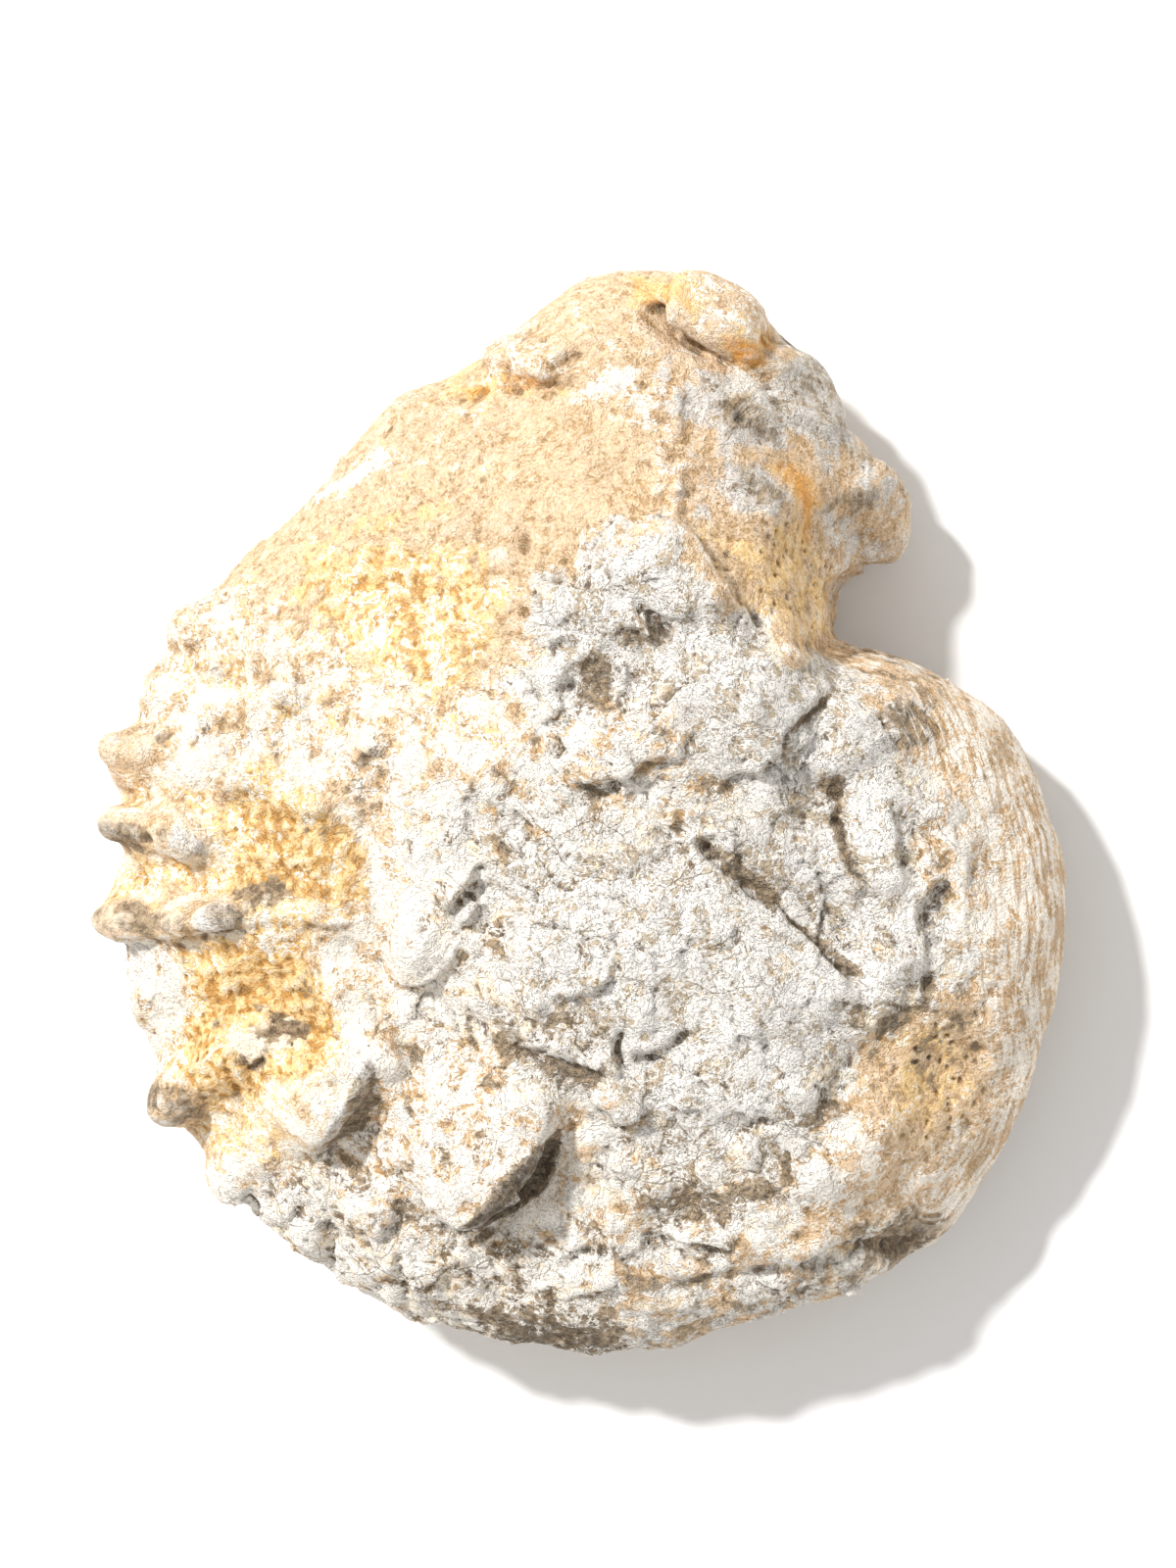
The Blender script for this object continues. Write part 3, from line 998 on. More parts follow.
# Shapes on the stone's edge, which move it sideways.
EDGE_MARKS: tuple[Mark, ...] = (
    Knob((783, 350), (1.6, 1.6), 0, -1.0, 1.0),
    Knob((866, 436), (1.9, 1.9), 0, -1.1, 1.0),
    Knob((832, 372), (3.4, 2.4), -40, 0.7, 1.0),
    Knob((908, 556), (3.6, 3.6), 0, 1.7, 1.0),
    Knob((860, 606), (2.4, 2.4), 0, -0.9, 1.0),
    Knob((908, 482), (2.4, 2.4), 0, 0.7, 1.0),
    Knob((756, 300), (3.4, 2.4), -30, 0.7, 1.0),
    Knob((128, 800), (2.4, 2.6), 0, 0.9, 1.0),
    Knob((122, 892), (2.4, 2.8), 0, 0.9, 1.0),
    Knob((118, 985), (2.4, 2.6), 0, 0.8, 1.0),
)


def uneven(places: np.ndarray, rumple: Rumple, steps: Steps) -> np.ndarray:
    """Ragged shifts in two directions.

    Args:
        places: positions in millimetres, one row each.
        rumple: the random values.
        steps: pairs of lump size in millimetres and largest shift, in the result's unit.

    Returns:
        Two shifts for each place.
    """
    shift = np.zeros((len(places), 2))
    for size, most in steps:
        shift[:, 0] += most * rumple.at(places, size)
        shift[:, 1] += most * rumple.at(places + 41.7, size)
    return shift


# --- meshes as arrays -----------------------------------------------------------------------------
class Skin:
    """The points of a mesh in millimetres, with what is needed to smooth values over them."""

    def __init__(self, mesh: bpy.types.Mesh) -> None:
        """Reads a mesh.

        Args:
            mesh: the mesh, in metres.
        """
        self.mesh = mesh
        count = len(mesh.vertices)
        flat = np.empty(count * 3, np.float32)
        mesh.vertices.foreach_get("co", flat)
        self.places = flat.reshape(-1, 3).astype(float) / MM
        ends = np.empty(len(mesh.edges) * 2, np.int32)
        mesh.edges.foreach_get("vertices", ends)
        self.ends = ends.reshape(-1, 2)
        self.valence = np.bincount(self.ends.ravel(), minlength=count).astype(float)
        self.normals = self.read_normals()

    def read_normals(self) -> np.ndarray:
        """The points' normals."""
        flat = np.empty(len(self.mesh.vertices) * 3, np.float32)
        self.mesh.vertices.foreach_get("normal", flat)
        return flat.reshape(-1, 3).astype(float)

    def relaxed(self, values: np.ndarray, times: int, share: Any = 0.5) -> np.ndarray:
        """Values drawn towards their neighbours' mean.

        Args:
            values: one row or number for each point.
            times: how many passes.
            share: how far they go in each pass, for all or for each point.

        Returns:
            The smoother values.
        """
        columns = values.reshape(len(values), -1).T
        a, b = self.ends.T
        count = len(self.valence)
        out = []
        for column in columns:
            for _ in range(times):
                near = np.bincount(a, column[b], count) + np.bincount(b, column[a], count)
                column = column + share * (near / self.valence - column)
            out.append(column)
        return np.array(out).T.reshape(values.shape)

    def broad_normals(self, times: int) -> np.ndarray:
        """The normals, smoothed."""
        broad = self.relaxed(self.normals, times)
        return broad / np.linalg.norm(broad, axis=1)[:, None]

    def move_to(self, places: np.ndarray) -> None:
        """Gives the mesh new places.

        Args:
            places: positions in millimetres, one row for each point.
        """
        self.places = places
        self.mesh.vertices.foreach_set("co", (places * MM).astype(np.float32).ravel())
        self.mesh.update()
        self.normals = self.read_normals()

    def keep(self, name: str, values: np.ndarray) -> None:
        """Writes what each point keeps.

        Args:
            name: the name to keep it under.
            values: one number or one triple for each point.
        """
        kind, slot = ("FLOAT", "value") if values.ndim == 1 else ("FLOAT_VECTOR", "vector")
        if name in self.mesh.attributes:
            self.mesh.attributes.remove(self.mesh.attributes[name])
        found = self.mesh.attributes.new(name, kind, "POINT")
        found.data.foreach_set(slot, values.astype(np.float32).ravel())


def taken_through(obj: bpy.types.Object, *modifiers: tuple[str, dict[str, Any]]) -> bpy.types.Object:
    """Puts modifiers on an object and keeps what they make as its plain mesh.

    Args:
        obj: the object.
        modifiers: pairs of a modifier's type and its settings, in order.

    Returns:
        The same object.
    """
    for kind, settings in modifiers:
        modifier = obj.modifiers.new(kind.lower(), kind)
        for name, setting in settings.items():
            setattr(modifier, name, setting)
    graph = bpy.context.evaluated_depsgraph_get()
    made = bpy.data.meshes.new_from_object(obj.evaluated_get(graph))
    obj.modifiers.clear()
    old, obj.data = obj.data, made
    bpy.data.meshes.remove(old)
    return obj


# --- what grows over the stone --------------------------------------------------------------------
class Growth:
    """A Geometry Nodes tree with named inputs that turns a mesh into another."""

    name = "growth"

    def sizes(self) -> dict[str, float]:
        """The named inputs and their values."""
        raise NotImplementedError

    def lay_out(self, tree: Tree, mesh: Value, given: dict[str, Value]) -> Value:
        """Fills the tree.

        Args:
            tree: the tree.
            mesh: the mesh that comes in.
            given: the named inputs.

        Returns:
            The geometry that goes out.
        """
        raise NotImplementedError

    def work_on(self, obj: bpy.types.Object, material: bpy.types.Material) -> bpy.types.Object:
        """Runs the tree over an object and keeps the result as its plain mesh.

        Args:
            obj: the object.
            material: what its faces get.

        Returns:
            The same object.
        """
        group = bpy.data.node_groups.new(self.name, "GeometryNodeTree")
        new = group.interface.new_socket
        new(name="Geometry", in_out="INPUT", socket_type="NodeSocketGeometry")
        new(name="Material", in_out="INPUT", socket_type="NodeSocketMaterial")
        new(name="Geometry", in_out="OUTPUT", socket_type="NodeSocketGeometry")
        for name in self.sizes():
            new(name=name, in_out="INPUT", socket_type="NodeSocketFloat")
        tree = Tree(group)
        start = tree.add("NodeGroupInput", {}, {}, "Geometry")
        given = {name: start.sibling(name) for name in self.sizes()}
        grown = self.lay_out(tree, start, given)
        plain = tree.add("GeometryNodeRealizeInstances", {}, {"Geometry": grown})
        inputs = {"Geometry": plain, "Material": start.sibling("Material")}
        dressed = tree.add("GeometryNodeSetMaterial", {}, inputs)
        end = group.nodes.new("NodeGroupOutput")
        tree.feed(end.inputs["Geometry"], dressed)
        modifier = obj.modifiers.new(self.name, "NODES")
        modifier.node_group = group
        items = group.interface.items_tree
        places = {item.name: item.identifier for item in items if item.in_out == "INPUT"}
        modifier[places["Material"]] = material
        for name, size in self.sizes().items():
            modifier[places[name]] = size
        return taken_through(obj)


@dataclass(frozen=True)
class ChipScatter(Growth):
    """Crumbs and thin flakes of rock strewn over the broken parts."""

    name = "chip_scatter"
    crumbs_per_mm2: float = 0.16
    crumb_radius: float = 0.5
    flakes_per_mm2: float = 0.02
    flake_radius: float = 1.9
    flake_depth: float = 0.6
    seed: int = 11

    def sizes(self) -> dict[str, float]:
        """The strewing's inputs.

        Returns:
            Densities to the square metre and sizes in metres, by name.
        """
        return {
            "Crumbs": self.crumbs_per_mm2 / MM**2,
            "Crumb Radius": self.crumb_radius * MM,
            "Flakes": self.flakes_per_mm2 / MM**2,
            "Flake Radius": self.flake_radius * MM,
            "Flake Depth": self.flake_depth * MM,
        }

    def strew(
        self, tree: Tree, mesh: Value, density: Value, shape: Value, scales: tuple[Any, Any], tilt: float,
        seed: int,
    ) -> Value:
        """Puts a shape at random places on the faces.

        Args:
            tree: the tree.
            mesh: the faces.
            density: how many to the square metre.
            shape: what is strewn.
            scales: the least and the most of its scale, as triples.
            tilt: how far it may lean from the face, in degrees.
            seed: what the random draws start from.

        Returns:
            The instances.
        """
        inputs = {"Mesh": mesh, "Density": density, "Seed": seed}
        spread = tree.add("GeometryNodeDistributePointsOnFaces", {}, inputs, "Points")
        lean = math.radians(tilt)
        drawn = {"data_type": "FLOAT_VECTOR"}
        turns = tree.add(
            "FunctionNodeRandomValue", drawn,
            {"Min": (-lean, -lean, -math.pi), "Max": (lean, lean, math.pi), "Seed": seed + 1},
        )
        scale = tree.add(
            "FunctionNodeRandomValue", drawn, {"Min": scales[0], "Max": scales[1], "Seed": seed + 2}
        )
        turned = tree.add(
            "FunctionNodeRotateRotation", {"rotation_space": "LOCAL"},
            {"Rotation": spread.sibling("Rotation"), "Rotate By": turns},
        )
        inputs = {"Points": spread, "Instance": shape, "Rotation": turned, "Scale": scale}
        return tree.add("GeometryNodeInstanceOnPoints", {}, inputs)

    def lay_out(self, tree: Tree, mesh: Value, given: dict[str, Value]) -> Value:
        """Joins the crumbs and the flakes with the stone.

        Args:
            tree: the tree.
            mesh: the stone.
            given: the named inputs.

        Returns:
            The stone with what is strewn over it.
        """
        inputs = {"Radius": given["Crumb Radius"], "Subdivisions": 1}
        crumb = tree.add("GeometryNodeMeshIcoSphere", {}, inputs)
        flake = tree.add(
            "GeometryNodeMeshCylinder", {},
            {"Vertices": 6, "Radius": given["Flake Radius"], "Depth": given["Flake Depth"]},
        )
        crumbs = self.strew(
            tree, mesh, tree.kept("crumbs") * given["Crumbs"], crumb,
            ((0.5, 0.5, 0.45), (1.5, 1.25, 1.1)), 180.0, self.seed,
        )
        flakes = self.strew(
            tree, mesh, tree.kept("flakes") * given["Flakes"], flake,
            ((0.5, 0.4, 0.5), (1.5, 1.1, 1.2)), 16.0, self.seed + 7,
        )
        joined = tree.add("GeometryNodeJoinGeometry", {}, {"Geometry": mesh})
        tree.feed(joined.socket.node.inputs["Geometry"], crumbs)
        tree.feed(joined.socket.node.inputs["Geometry"], flakes)
        return joined


@dataclass(frozen=True)
class GrainRelief(Growth):
    """Broken facets, lumps, pores, growth lines and grain raised from the surface."""

    name = "grain_relief"
    facets: Steps = ((9.0, 0.5), (3.6, 0.26), (1.5, 0.13))  # size and height
    lump_size: float = 1.7
    lump: float = 0.5
    pore_size: float = 1.25
    pore: float = 0.4
    line_gap: float = 0.55
    line: float = 0.16
    grain: float = 0.2
    base: float = 1.2  # the height below which the stone keeps its flat rest

    def sizes(self) -> dict[str, float]:
        """The relief's inputs.

        Returns:
            Heights in millimetres, by name.
        """
        return {
            "Facets": 1.0, "Lumps": self.lump, "Pores": self.pore, "Growth Lines": self.line,
            "Grain": self.grain, "Base": self.base,
        }

    def facet(self, tree: Tree, at: Value, size: float) -> Value:
        """Tilted planes with steps between them.

        Args:
            tree: the tree.
            at: the place.
            size: the planes' size, in the unit of the place.

        Returns:
            Their height, from about -1 to 1.
        """
        cell = tree.cells(at, size, output="Color")
        lean = cell - 0.5
        local = (at - cell.sibling("Position")) / size
        return 1.6 * local.dot(lean) + 0.9 * lean.part("X")

    def lay_out(self, tree: Tree, mesh: Value, given: dict[str, Value]) -> Value:
        """Moves each point along its normal by the sum of all the reliefs.

        Args:
            tree: the tree.
            mesh: the stone.
            given: the named inputs.

        Returns:
            The stone with its grain.
        """
        place = tree.add("GeometryNodeInputPosition", {}, {}) / MM
        loose = place + (tree.noise(place, 3.0, 2.0, output="Color") - 0.5) * 0.8
        broken = sum(
            (
                self.facet(tree, loose + 17.0 * k, size) * height
                for k, (size, height) in enumerate(self.facets)
            ),
            0.0,
        )
        lumps = 0.5 - tree.cells(loose, self.lump_size, "SMOOTH_F1")
        hole = tree.cells(loose, self.pore_size, output="Color")
        open_hole = hole.part("X").between(0.3, 0.5) * hole.sibling("Distance").between(0.42, 0.1)
        growth = tree.kept("growth", "FLOAT_VECTOR")
        lines = tree.noise(growth, self.line_gap, 2.0) - 0.5
        grain = tree.noise(loose, 1.15, 4.0, 0.66) - 0.5
        offset = (
            tree.kept("broken") * given["Facets"] * broken
            + tree.kept("crumbly") * given["Lumps"] * 2.0 * lumps
            - tree.kept("pitted") * given["Pores"] * open_hole
            + tree.kept("streaked") * given["Growth Lines"] * 2.0 * lines
            + (1.0 - 0.6 * tree.kept("calm")) * given["Grain"] * 2.0 * grain
        )
        offset = offset * (place.part("Z") / given["Base"]).between(0.2, 1.0)
        normal = tree.add("GeometryNodeInputNormal", {}, {})
        along = tree.add(
            "ShaderNodeVectorMath", {"operation": "SCALE"}, {0: normal, "Scale": offset * MM}, "Vector"
        )
        return tree.add("GeometryNodeSetPosition", {}, {"Geometry": mesh, "Offset": along})


# --- the stone ------------------------------------------------------------------------------------
@dataclass
class StoneBody:
    """The ammonite itself, with its rock: one closed piece."""

    camera: TableCamera
    node: str = "ammonite"
    first_grid: float = 0.5  # grid on which the solid is closed and smoothed
    last_grid: float = 0.36  # grid on which the chips are fused with it
    soften: int = 5  # smoothing passes all over
    hub_soften: int = 70  # and over the hub, whose blocks are then worked in by hand
    hub: Path = (
        548, 600, 640, 540, 700, 540, 790, 655, 850, 672, 925, 765, 990, 880, 980, 1000, 860, 1110,
        740, 1180, 620, 1150, 520, 1060, 400, 1000, 400, 840, 552, 740,
    )
    hub_edge: float = 3.0  # width over which the hub's outline fades
    ragged_marks: Steps = ((9.0, 5.0), (4.5, 4.0), (1.3, 2.5))  # lump size, and shift in frame points
    ragged_regions: Steps = ((8.0, 16.0), (2.6, 9.0), (0.9, 4.0))
    swirls: Steps = ((6.0, 0.9), (1.6, 0.3), (0.8, 0.12))  # lump size and most, of how colours swirl
    deepened: float = 0.8  # how much the hub's shallowest marks are strengthened
    full_ragged: float = 5.0  # regions whose edge is narrower have less ragged outlines
    growth_paths: tuple[Path, ...] = (
        (930, 690, 960, 745, 985, 818, 1002, 868, 1010, 944, 1004, 1010, 1012, 1080, 990, 1160,
         950, 1220),  # along the inner edge of the smooth rim
        (240, 600, 330, 545, 430, 500, 520, 440, 600, 390),  # up the warm flank
        (800, 470, 790, 540, 806, 610, 830, 670),  # down the mouth
    )
    most_mark: float = 3.2  # marks that meet never move the surface further than this
    most_triangles: int = 196000
    crown: float = 42.3  # above this height the stone is pressed down,
    crown_room: float = 1.9  # so that it never rises more than this over it
    rest_height: float = 0.5  # below this the stone is drawn flat on to its rest

    def build(self, finish: "LimestoneFinish") -> bpy.types.Object:
        """Makes the piece and dresses it.

        Args:
            finish: the stone's one finish.

        Returns:
            The piece, on the body and in place of the node that it stands for.
        """
        material = finish.build()
        piece = self.smoothed_solid()
        self.work_in_marks(piece)
        self.lay_fields(piece)
        ChipScatter().work_on(piece, material)
        taken_through(piece, ("REMESH", {"mode": "VOXEL", "voxel_size": self.last_grid * MM}))
        self.lay_fields(piece)
        GrainRelief().work_on(piece, material)
        self.thin(piece)
        self.drop_loose_crumbs(piece)
        self.settle(piece)
        self.lay_fields(piece)
        self.lay_cavities(piece)
        piece.data.shade_smooth()
        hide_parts(self.node)
        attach(piece, "root")
        return piece

    def smoothed_solid(self) -> bpy.types.Object:
        """Copies the solid, closes it on a fine grid and smooths its facets away.

        Returns:
            The stone, before any mark is in.
        """
        solid = bmesh.new()
        solid.from_mesh(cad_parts[self.node].data)
        bmesh.ops.remove_doubles(solid, verts=solid.verts, dist=0.01 * MM)
        mesh = bpy.data.meshes.new("ammonite_stone")
        solid.to_mesh(mesh)
        solid.free()
        piece = placed("ammonite_stone", mesh)
        taken_through(
            piece,
            ("SUBSURF", {"levels": 1, "render_levels": 1}),
            ("REMESH", {"mode": "VOXEL", "voxel_size": self.first_grid * MM}),
        )
        skin = Skin(piece.data)
        hub = self.over_hub(self.camera.frame_points(skin.places), 0.0) * self.facing_up(skin)
        places = skin.relaxed(skin.places, self.soften)
        places = skin.relaxed(places, self.hub_soften, 0.5 * hub)
        places[:, 2] *= smooth(places[:, 2] / self.rest_height)
        skin.move_to(places)
        return piece

    def over_hub(self, seen: np.ndarray, start: float = 0.5) -> np.ndarray:
        """1 over the hub and 0 beyond it, from this start on its outline."""
        return smooth(inside_depth(seen, self.hub) * self.camera.point / self.hub_edge + start)

    def facing_up(self, skin: Skin) -> np.ndarray:
        """1 where the skin faces the camera, 0 where it faces away."""
        return smooth((skin.broad_normals(8) @ self.camera.axes[2] + 0.1) / 0.3)

    def work_in_marks(self, piece: bpy.types.Object) -> None:
        """Moves the surface by the marks that lie on it.

        Args:
            piece: the stone.
        """
        skin = Skin(piece.data)
        normals = skin.broad_normals(10)
        shares = smooth((normals @ self.camera.axes[2] - 0.05) / 0.3)
        point = self.camera.point
        seen = self.camera.frame_points(skin.places)
        rumple = Rumple(5)
        seen = seen + uneven(skin.places, rumple, self.ragged_marks)
        strength = 1.0 + 0.4 * rumple.at(skin.places + 11.3, 5.0)
        hub = self.over_hub(seen)
        heights = []
        for marks in (MARKS, EDGE_MARKS):
            height = np.zeros(len(seen))
            for mark in marks:
                near = round_about(seen, mark.points, mark.reach() / point + 10.0)
                height[near] += mark.height(seen[near], point)
            height = height * strength * (1.0 + self.deepened * hub * np.exp(-np.abs(height) / 1.5))
            height = np.clip(height, -self.most_mark, self.most_mark)
            heights.append(skin.relaxed(height, 2))
        sideways = normals - normals @ self.camera.axes[2][:, None] * self.camera.axes[2]
        lift = normals * (heights[0] * shares)[:, None] + sideways * heights[1][:, None]
        skin.move_to(skin.places + lift * smooth(skin.places[:, 2] / 3.0 - 0.3)[:, None])

    def lay_fields(self, piece: bpy.types.Object) -> None:
        """Keeps what lies over the stone as numbers at its points.

        Args:
            piece: the stone, at any step after its marks are in.
        """
        skin = Skin(piece.data)
        up = self.facing_up(skin)
        point = self.camera.point
        seen = self.camera.frame_points(skin.places)
        shifts = uneven(skin.places, Rumple(7), self.ragged_regions)
        rumple = Rumple(9)
        fields = {layer: np.full(len(seen), ALL_OVER[layer]) for layer in Layer}
        face = dict(fields)
        for region in sorted(REGIONS, key=lambda one: -one.edge):  # sharp ones stay on top
            ragged = seen + shifts * min(1.0, region.edge / self.full_ragged)
            near = round_about(ragged, region.outline, region.edge / point)
            share = np.zeros(len(seen))
            share[near] = smooth(inside_depth(ragged[near], region.outline) * point / region.edge + 0.5)
            for layer, value in region.layers.items():
                face[layer] = face[layer] + share * (value - face[layer])
        drift = 0.25 * rumple.at(skin.places, 12.0)
        for layer in Layer:
            values = np.clip(fields[layer] + drift, 0.0, 1.0) * (1.0 - up) + face[layer] * up
            skin.keep(layer.value, values)
            fields[layer] = values
        hub = self.over_hub(seen + shifts) * up
        off_rest = smooth(skin.places[:, 2] / 3.0 - 0.5)
        skin.keep("crumbs", np.clip(fields[CR] * 1.1 - 0.1, 0.0, 1.0) * off_rest)
        skin.keep("flakes", fields[BK] * (0.25 + 0.75 * hub) * off_rest)
        self.lay_growth(skin, seen)
        self.lay_swirl(skin)

    def lay_growth(self, skin: Skin, seen: np.ndarray) -> None:
        """Keeps where each point lies about the nearest line that the shell grew along.

        Args:
            skin: the stone's points.
            seen: their frame points.
        """
        growth = np.full((len(seen), 3), np.inf)
        for turn, path in enumerate(self.growth_paths):
            across, along = nearest_on_path(seen, path)
            across = across * self.camera.point
            closer = np.abs(across) < np.abs(growth[:, 0])
            apart = np.full(len(seen), 9.0 * turn)
            growth[closer] = np.column_stack([across, along * 7.0, apart])[closer]
        skin.keep("growth", growth)

    def lay_swirl(self, skin: Skin) -> None:
        """Keeps the places at which the colours are read, swirled so that no patch is plain.

        Args:
            skin: the stone's points.
        """
        swirl = Rumple(13)
        turns = [
            sum(most * swirl.at(skin.places + 31.7 * axis, size) for size, most in self.swirls)
            for axis in range(3)
        ]
        skin.keep("swirled", skin.places + np.column_stack(turns))

    def thin(self, piece: bpy.types.Object) -> None:
        """Brings the piece under its count of triangles, most of all where it is plain.

        Args:
            piece: the stone.
        """
        triangles = sum(len(face.vertices) - 2 for face in piece.data.polygons)
        log.info("%d triangles before it is thinned", triangles)
        taken_through(piece, ("DECIMATE", {"ratio": self.most_triangles / triangles}))

    def drop_loose_crumbs(self, piece: bpy.types.Object) -> None:
        """Keeps the stone alone, without the crumbs that the last grid left apart from it.

        Args:
            piece: the stone.
        """
        solid = bmesh.new()
        solid.from_mesh(piece.data)
        left, parts = set(solid.verts), []
        while left:
            part = [left.pop()]
            for vert in part:  # grows as it is walked
                fresh = {edge.other_vert(vert) for edge in vert.link_edges} & left
                left -= fresh
                part.extend(fresh)
            parts.append(part)
        parts.sort(key=len)
        for part in parts[:-1]:
            bmesh.ops.delete(solid, geom=part, context="VERTS")
        solid.to_mesh(piece.data)
        solid.free()
        log.info("%d loose crumbs dropped", len(parts) - 1)

    def settle(self, piece: bpy.types.Object) -> None:
        """Draws the lowest points flat on to the rest, and keeps the highest under the solid's top.

        Args:
            piece: the stone.
        """
        skin = Skin(piece.data)
        places = skin.places.copy()
        over = np.clip(places[:, 2] - self.crown, 0.0, None)
        places[:, 2] -= over - self.crown_room * (1.0 - np.exp(-over / self.crown_room))
        low = places[:, 2] < self.rest_height
        places[low, 2] *= smooth(places[low, 2] / self.rest_height)
        skin.move_to(places)

    def lay_cavities(self, piece: bpy.types.Object) -> None:
        """Keeps how far each point stands out of its surroundings, near and wide.

        Args:
            piece: the stone.
        """
        skin = Skin(piece.data)
        near = skin.relaxed(skin.places, 3)
        wide = skin.relaxed(skin.places, 30)
        normals = skin.broad_normals(2)
        skin.keep("stands_near", np.einsum("ij,ij->i", skin.places - near, normals))
        skin.keep("stands_wide", np.einsum("ij,ij->i", near - wide, normals))


# --- the finish -----------------------------------------------------------------------------------
Colour = tuple[float, float, float]


class Weather:
    """What the stone is like at a place, as values in its material."""

    def __init__(self, tree: Tree) -> None:
        """Reads what the mesh keeps and adds the noises, shifted so that no two of them lie alike.

        Args:
            tree: the material's tree.
        """
        self.tree = tree
        self.place = place = tree.kept("swirled", "FLOAT_VECTOR")
        self.near, self.wide = tree.kept("stands_near"), tree.kept("stands_wide")
        self.layer = {name: tree.kept(name.value) for name in (O, R, T, G, C, B, BK, CM, ST, PT)}
        self.big = tree.noise(place, 9.0, 3.0)
        self.mid = tree.noise(place + 31.0, 3.4, 4.0)
        self.mid_too = tree.noise(place + 57.0, 2.8, 4.0)
        self.fine = tree.noise(place + 13.0, 0.85, 3.0, 0.66)
        self.finest = tree.noise(place + 71.0, 0.3, 2.0, 0.6)
        strand = tree.noise(place + 23.0, 1.4, 3.0, 0.66) - 0.5
        self.vein = (strand * strand).between(0.0035, 0.0003)
        flake = self.mid * 13.0 + self.fine * 3.0
        level = flake.floor()
        self.shelf = level + (flake - level).between(0.72, 1.0)
        self.shade = tree.add("ShaderNodeTexWhiteNoise", {"noise_dimensions": "1D"}, {"W": level}, 0)
        self.flaky = 0.3 + 0.7 * self.layer[G]
        self.crest = (self.near + (self.fine - 0.5) * 0.05).between(0.03, 0.13)
        self.swing = 5.0 - 3.0 * self.layer[CM]

    def cover(self, layer: Layer, noise: Value, soft: float = 0.14) -> Value:
        """How far a layer covers a place.

        Args:
            layer: the layer. It covers all where its amount is 1, and lies in patches round a half.
            noise: what the patches follow.
            soft: how softly they end.

        Returns:
            The share that is covered, from 0 to 1.
        """
        amount = (self.layer[layer] * 2.0 - 0.5) + (noise - 0.5) * self.swing
        return amount.between(0.5 - soft, 0.5 + soft)


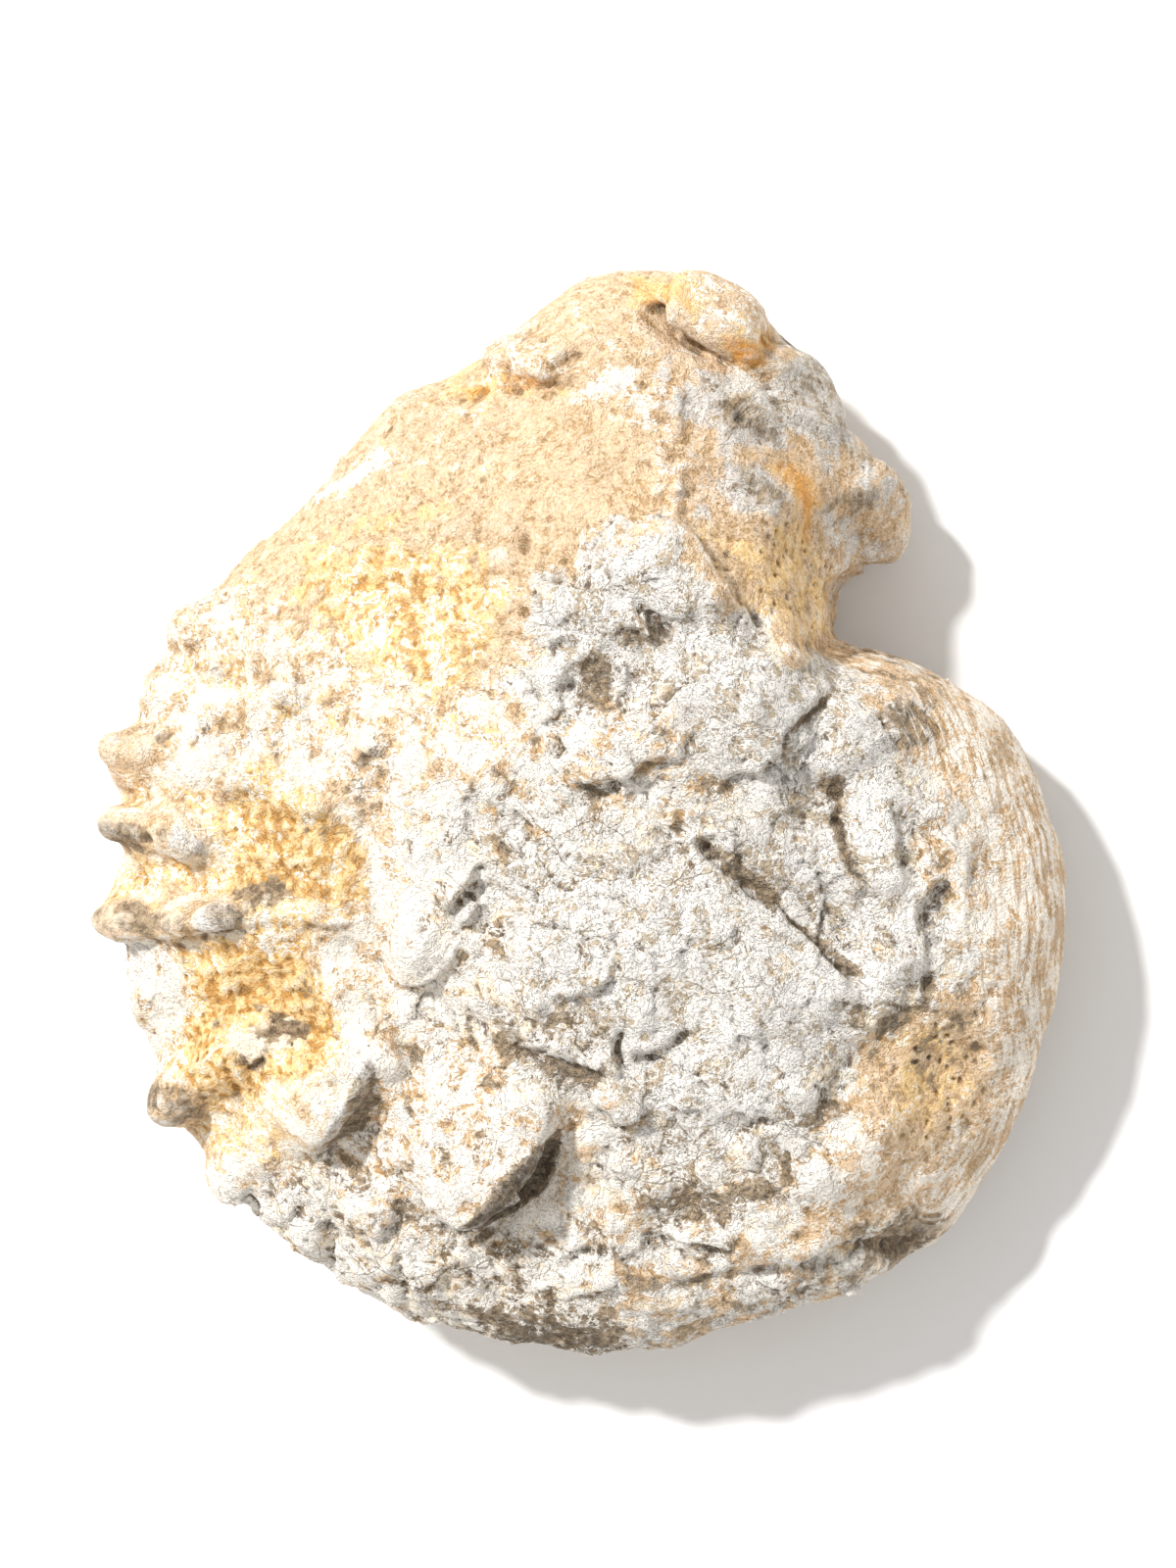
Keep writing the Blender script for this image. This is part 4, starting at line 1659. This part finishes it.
@dataclass(frozen=True)
class LimestoneFinish:
    """Weathered limestone: cream skin, grey rock, white crust, ochre stain and brown patina."""

    cream: Colour = (0.82, 0.71, 0.55)
    sand: Colour = (0.68, 0.495, 0.32)
    sand_deep: Colour = (0.46, 0.29, 0.14)
    rock: Colour = (0.58, 0.535, 0.48)
    rock_tan: Colour = (0.46, 0.375, 0.27)
    rock_deep: Colour = (0.24, 0.18, 0.13)
    frost: Colour = (0.73, 0.70, 0.655)
    chalk: Colour = (0.86, 0.79, 0.69)
    ochre: Colour = (0.80, 0.55, 0.26)
    ochre_deep: Colour = (0.54, 0.28, 0.075)
    rust: Colour = (0.70, 0.33, 0.08)
    patina: Colour = (0.15, 0.11, 0.07)
    patina_light: Colour = (0.37, 0.275, 0.175)

    bump_depth: float = 0.62  # millimetres for a height of 1
    specular: float = 0.25

    def layered(self, at: Weather, white: Value) -> Value:
        """The colour of the stone's layers, from the cream skin to the rust.

        Args:
            at: what the stone is like.
            white: the colour of its crust.

        Returns:
            The colour.
        """
        blend, mid, mid_too, fine, near = at.tree.blend, at.mid, at.mid_too, at.fine, at.near
        sandy = mid_too * 0.25 + fine * 0.45 + at.finest * 0.3 + near * 0.5
        sand = blend(sandy.between(0.40, 0.52), self.sand_deep, self.sand)
        rock = blend((mid_too * 0.85 + fine * 0.15).between(0.48, 0.515), self.rock_tan, self.rock)
        rock = blend(at.vein * 0.6, rock, self.frost)
        rock = blend((mid * 0.6 + fine * 0.4 + near * 0.6).between(0.43, 0.38), rock, self.rock_deep)
        golden = fine * 0.6 + mid_too * 0.4 + near * 0.7
        gold = blend(golden.between(0.42, 0.52), self.ochre_deep, self.ochre)
        brown = blend(fine.between(0.40, 0.60), self.patina, self.patina_light)
        brown = brown * (1.0 - 0.5 * at.layer[B].between(0.75, 0.97))
        stain = mid * 0.75 + fine * 0.25 - at.wide * 0.06 - near * 0.3
        crust = 0.325 + mid_too * 0.5 - mid * 0.5 + fine * 0.25 + at.finest * 0.08
        crust = crust + at.vein * 0.12 + at.wide * 0.05 + near * 0.3
        colour = blend(at.cover(T, mid * 0.85 + fine * 0.15, 0.2), self.cream, sand)
        colour = blend(at.cover(G, mid_too * 0.9 + fine * 0.1, 0.2), colour, rock)
        colour = blend(at.cover(O, mid_too * 0.7 + fine * 0.3, 0.25), colour, gold)
        colour = blend(at.cover(B, stain) * 0.92, colour, brown)
        colour = blend(at.cover(C, crust) * 0.9, colour, white)
        colour = blend(at.vein * 0.3 * at.layer[C], colour, white)
        return blend(at.cover(R, mid * 0.5 + fine * 0.5, 0.5), colour, self.rust)

    def worn(self, at: Weather, white: Value, colour: Value) -> Value:
        """A colour with the stone's growth lines, pores, shade, rubbed crests and dark splits.

        Args:
            at: what the stone is like.
            white: the colour of its crust.
            colour: the colour of its layers.

        Returns:
            The finished colour.
        """
        tree, blend, layer, fine = at.tree, at.tree.blend, at.layer, at.fine
        lines = tree.noise(tree.kept("growth", "FLOAT_VECTOR"), 0.55, 2.0)
        colour = blend(layer[ST] * lines.between(0.50, 0.38) * 0.7, colour, self.sand_deep)
        colour = blend(layer[ST] * lines.between(0.52, 0.62) * 0.8, colour, self.chalk)
        pores = tree.cells(at.place + 3.0, 1.1).between(0.40, 0.16) * at.mid_too.between(0.40, 0.52)
        colour = blend(pores * layer[PT] * 0.75, colour, self.sand_deep)
        hollow = (at.near * -1.0 + (fine - 0.5) * 0.08).between(0.02, 0.14)
        deep = (at.wide * -1.0).between(0.2, 1.2)
        tone = 1.04 + (at.finest - 0.5) * 0.7 + (at.big - 0.5) * 0.3 + (at.shade - 0.5) * 0.16 * at.flaky
        tone = tone - hollow * 0.35 - deep * 0.15
        colour = blend(at.crest * 0.3, colour, white) * tone
        wide, narrow = (
            (1.0 - tree.cells(at.place + 5.0, size, "DISTANCE_TO_EDGE") * (size / 0.09)).between(0.0, 0.8)
            * tree.noise(at.place + 47.0 * size, 2.0 * size, 2.0).between(0.53, 0.58)
            for size in (6.0, 2.6)
        )
        split = (wide + narrow * 0.6) * layer[BK].between(0.2, 0.8)
        return blend(split * 0.7, colour, self.patina)

    def build(self) -> bpy.types.Material:
        """Makes the material.

        Returns:
            The material.
        """
        material = bpy.data.materials.new("weathered_limestone")
        material.use_nodes = True
        tree = Tree(material.node_tree)
        at = Weather(tree)
        white = tree.blend(at.layer[G], self.chalk, self.frost)
        colour = self.worn(at, white, self.layered(at, white))
        roughness = 0.93 - 0.13 * at.layer[CM] * at.mid - 0.08 * at.crest
        height = at.fine * 0.32 + at.finest * 0.22 + at.vein * 0.1 + at.shelf * 0.42 * at.flaky
        inputs = {"Strength": 1.0, "Distance": self.bump_depth * MM, "Height": height}
        bump = tree.add("ShaderNodeBump", {}, inputs)
        shader = material.node_tree.nodes["Principled BSDF"].inputs
        tree.feed(shader["Base Color"], colour)
        tree.feed(shader["Roughness"], roughness)
        tree.feed(shader["Normal"], bump)
        shader["Specular IOR Level"].default_value = self.specular
        return material


# --- the studio -----------------------------------------------------------------------------------
@dataclass(frozen=True)
class Studio:
    """A pale floor, a soft key light from the upper left and an even white room."""

    floor_size: float = 3.0  # metres
    floor_tone: float = 0.86
    key_from: tuple[float, float, float] = (-0.9, 0.95, 1.6)
    key_strength: float = 3.95
    key_spread: float = 5.0  # degrees across
    room: float = 0.72
    mottle: float = 0.02  # how much the floor's tone drifts

    def build(self) -> None:
        """Makes the floor and the lights."""
        half = self.floor_size / 2
        mesh = bpy.data.meshes.new("table_top")
        corners = [(-half, -half, 0), (half, -half, 0), (half, half, 0), (-half, half, 0)]
        mesh.from_pydata(corners, [], [(0, 1, 2, 3)])
        floor = placed("table_top", mesh)
        paint = bpy.data.materials.new("pale_table")
        paint.use_nodes = True
        tree = Tree(paint.node_tree)
        shader = paint.node_tree.nodes["Principled BSDF"]
        place = tree.add("ShaderNodeTexCoord", {}, {}, "Object") / MM
        tone = self.floor_tone + (tree.noise(place, 60.0) - 0.5) * self.mottle
        paper = tree.blend(tone, (0.0, 0.0, 0.0), (1.0, 0.99, 0.975))
        tree.feed(shader.inputs["Base Color"], paper)
        tree.feed(shader.inputs["Roughness"], 0.9)
        mesh.materials.append(paint)
        key = bpy.data.lights.new("key_light", "SUN")
        key.energy, key.angle = self.key_strength, math.radians(self.key_spread)
        lamp = placed("key_light", key)
        lamp.rotation_euler = Vector(self.key_from).to_track_quat("Z", "Y").to_euler()
        world = bpy.data.worlds.new("white_room")
        world.use_nodes = True
        sky = world.node_tree.nodes["Background"].inputs
        sky["Color"].default_value, sky["Strength"].default_value = (1.0, 1.0, 1.0, 1.0), self.room
        bpy.context.scene.world = world
        bpy.context.scene.view_settings.view_transform = "Standard"


def main() -> None:
    """Builds the camera, the studio and the stone."""
    logging.basicConfig(level=logging.INFO, format="%(name)s: %(message)s")
    camera = TableCamera()
    camera.build()
    Studio().build()
    stone = StoneBody(camera).build(LimestoneFinish())
    triangles = sum(len(face.vertices) - 2 for face in stone.data.polygons)
    log.info("%s: %d triangles, in place of %s", stone.name, triangles, StoneBody.node)


if __name__ == "__main__":
    main()
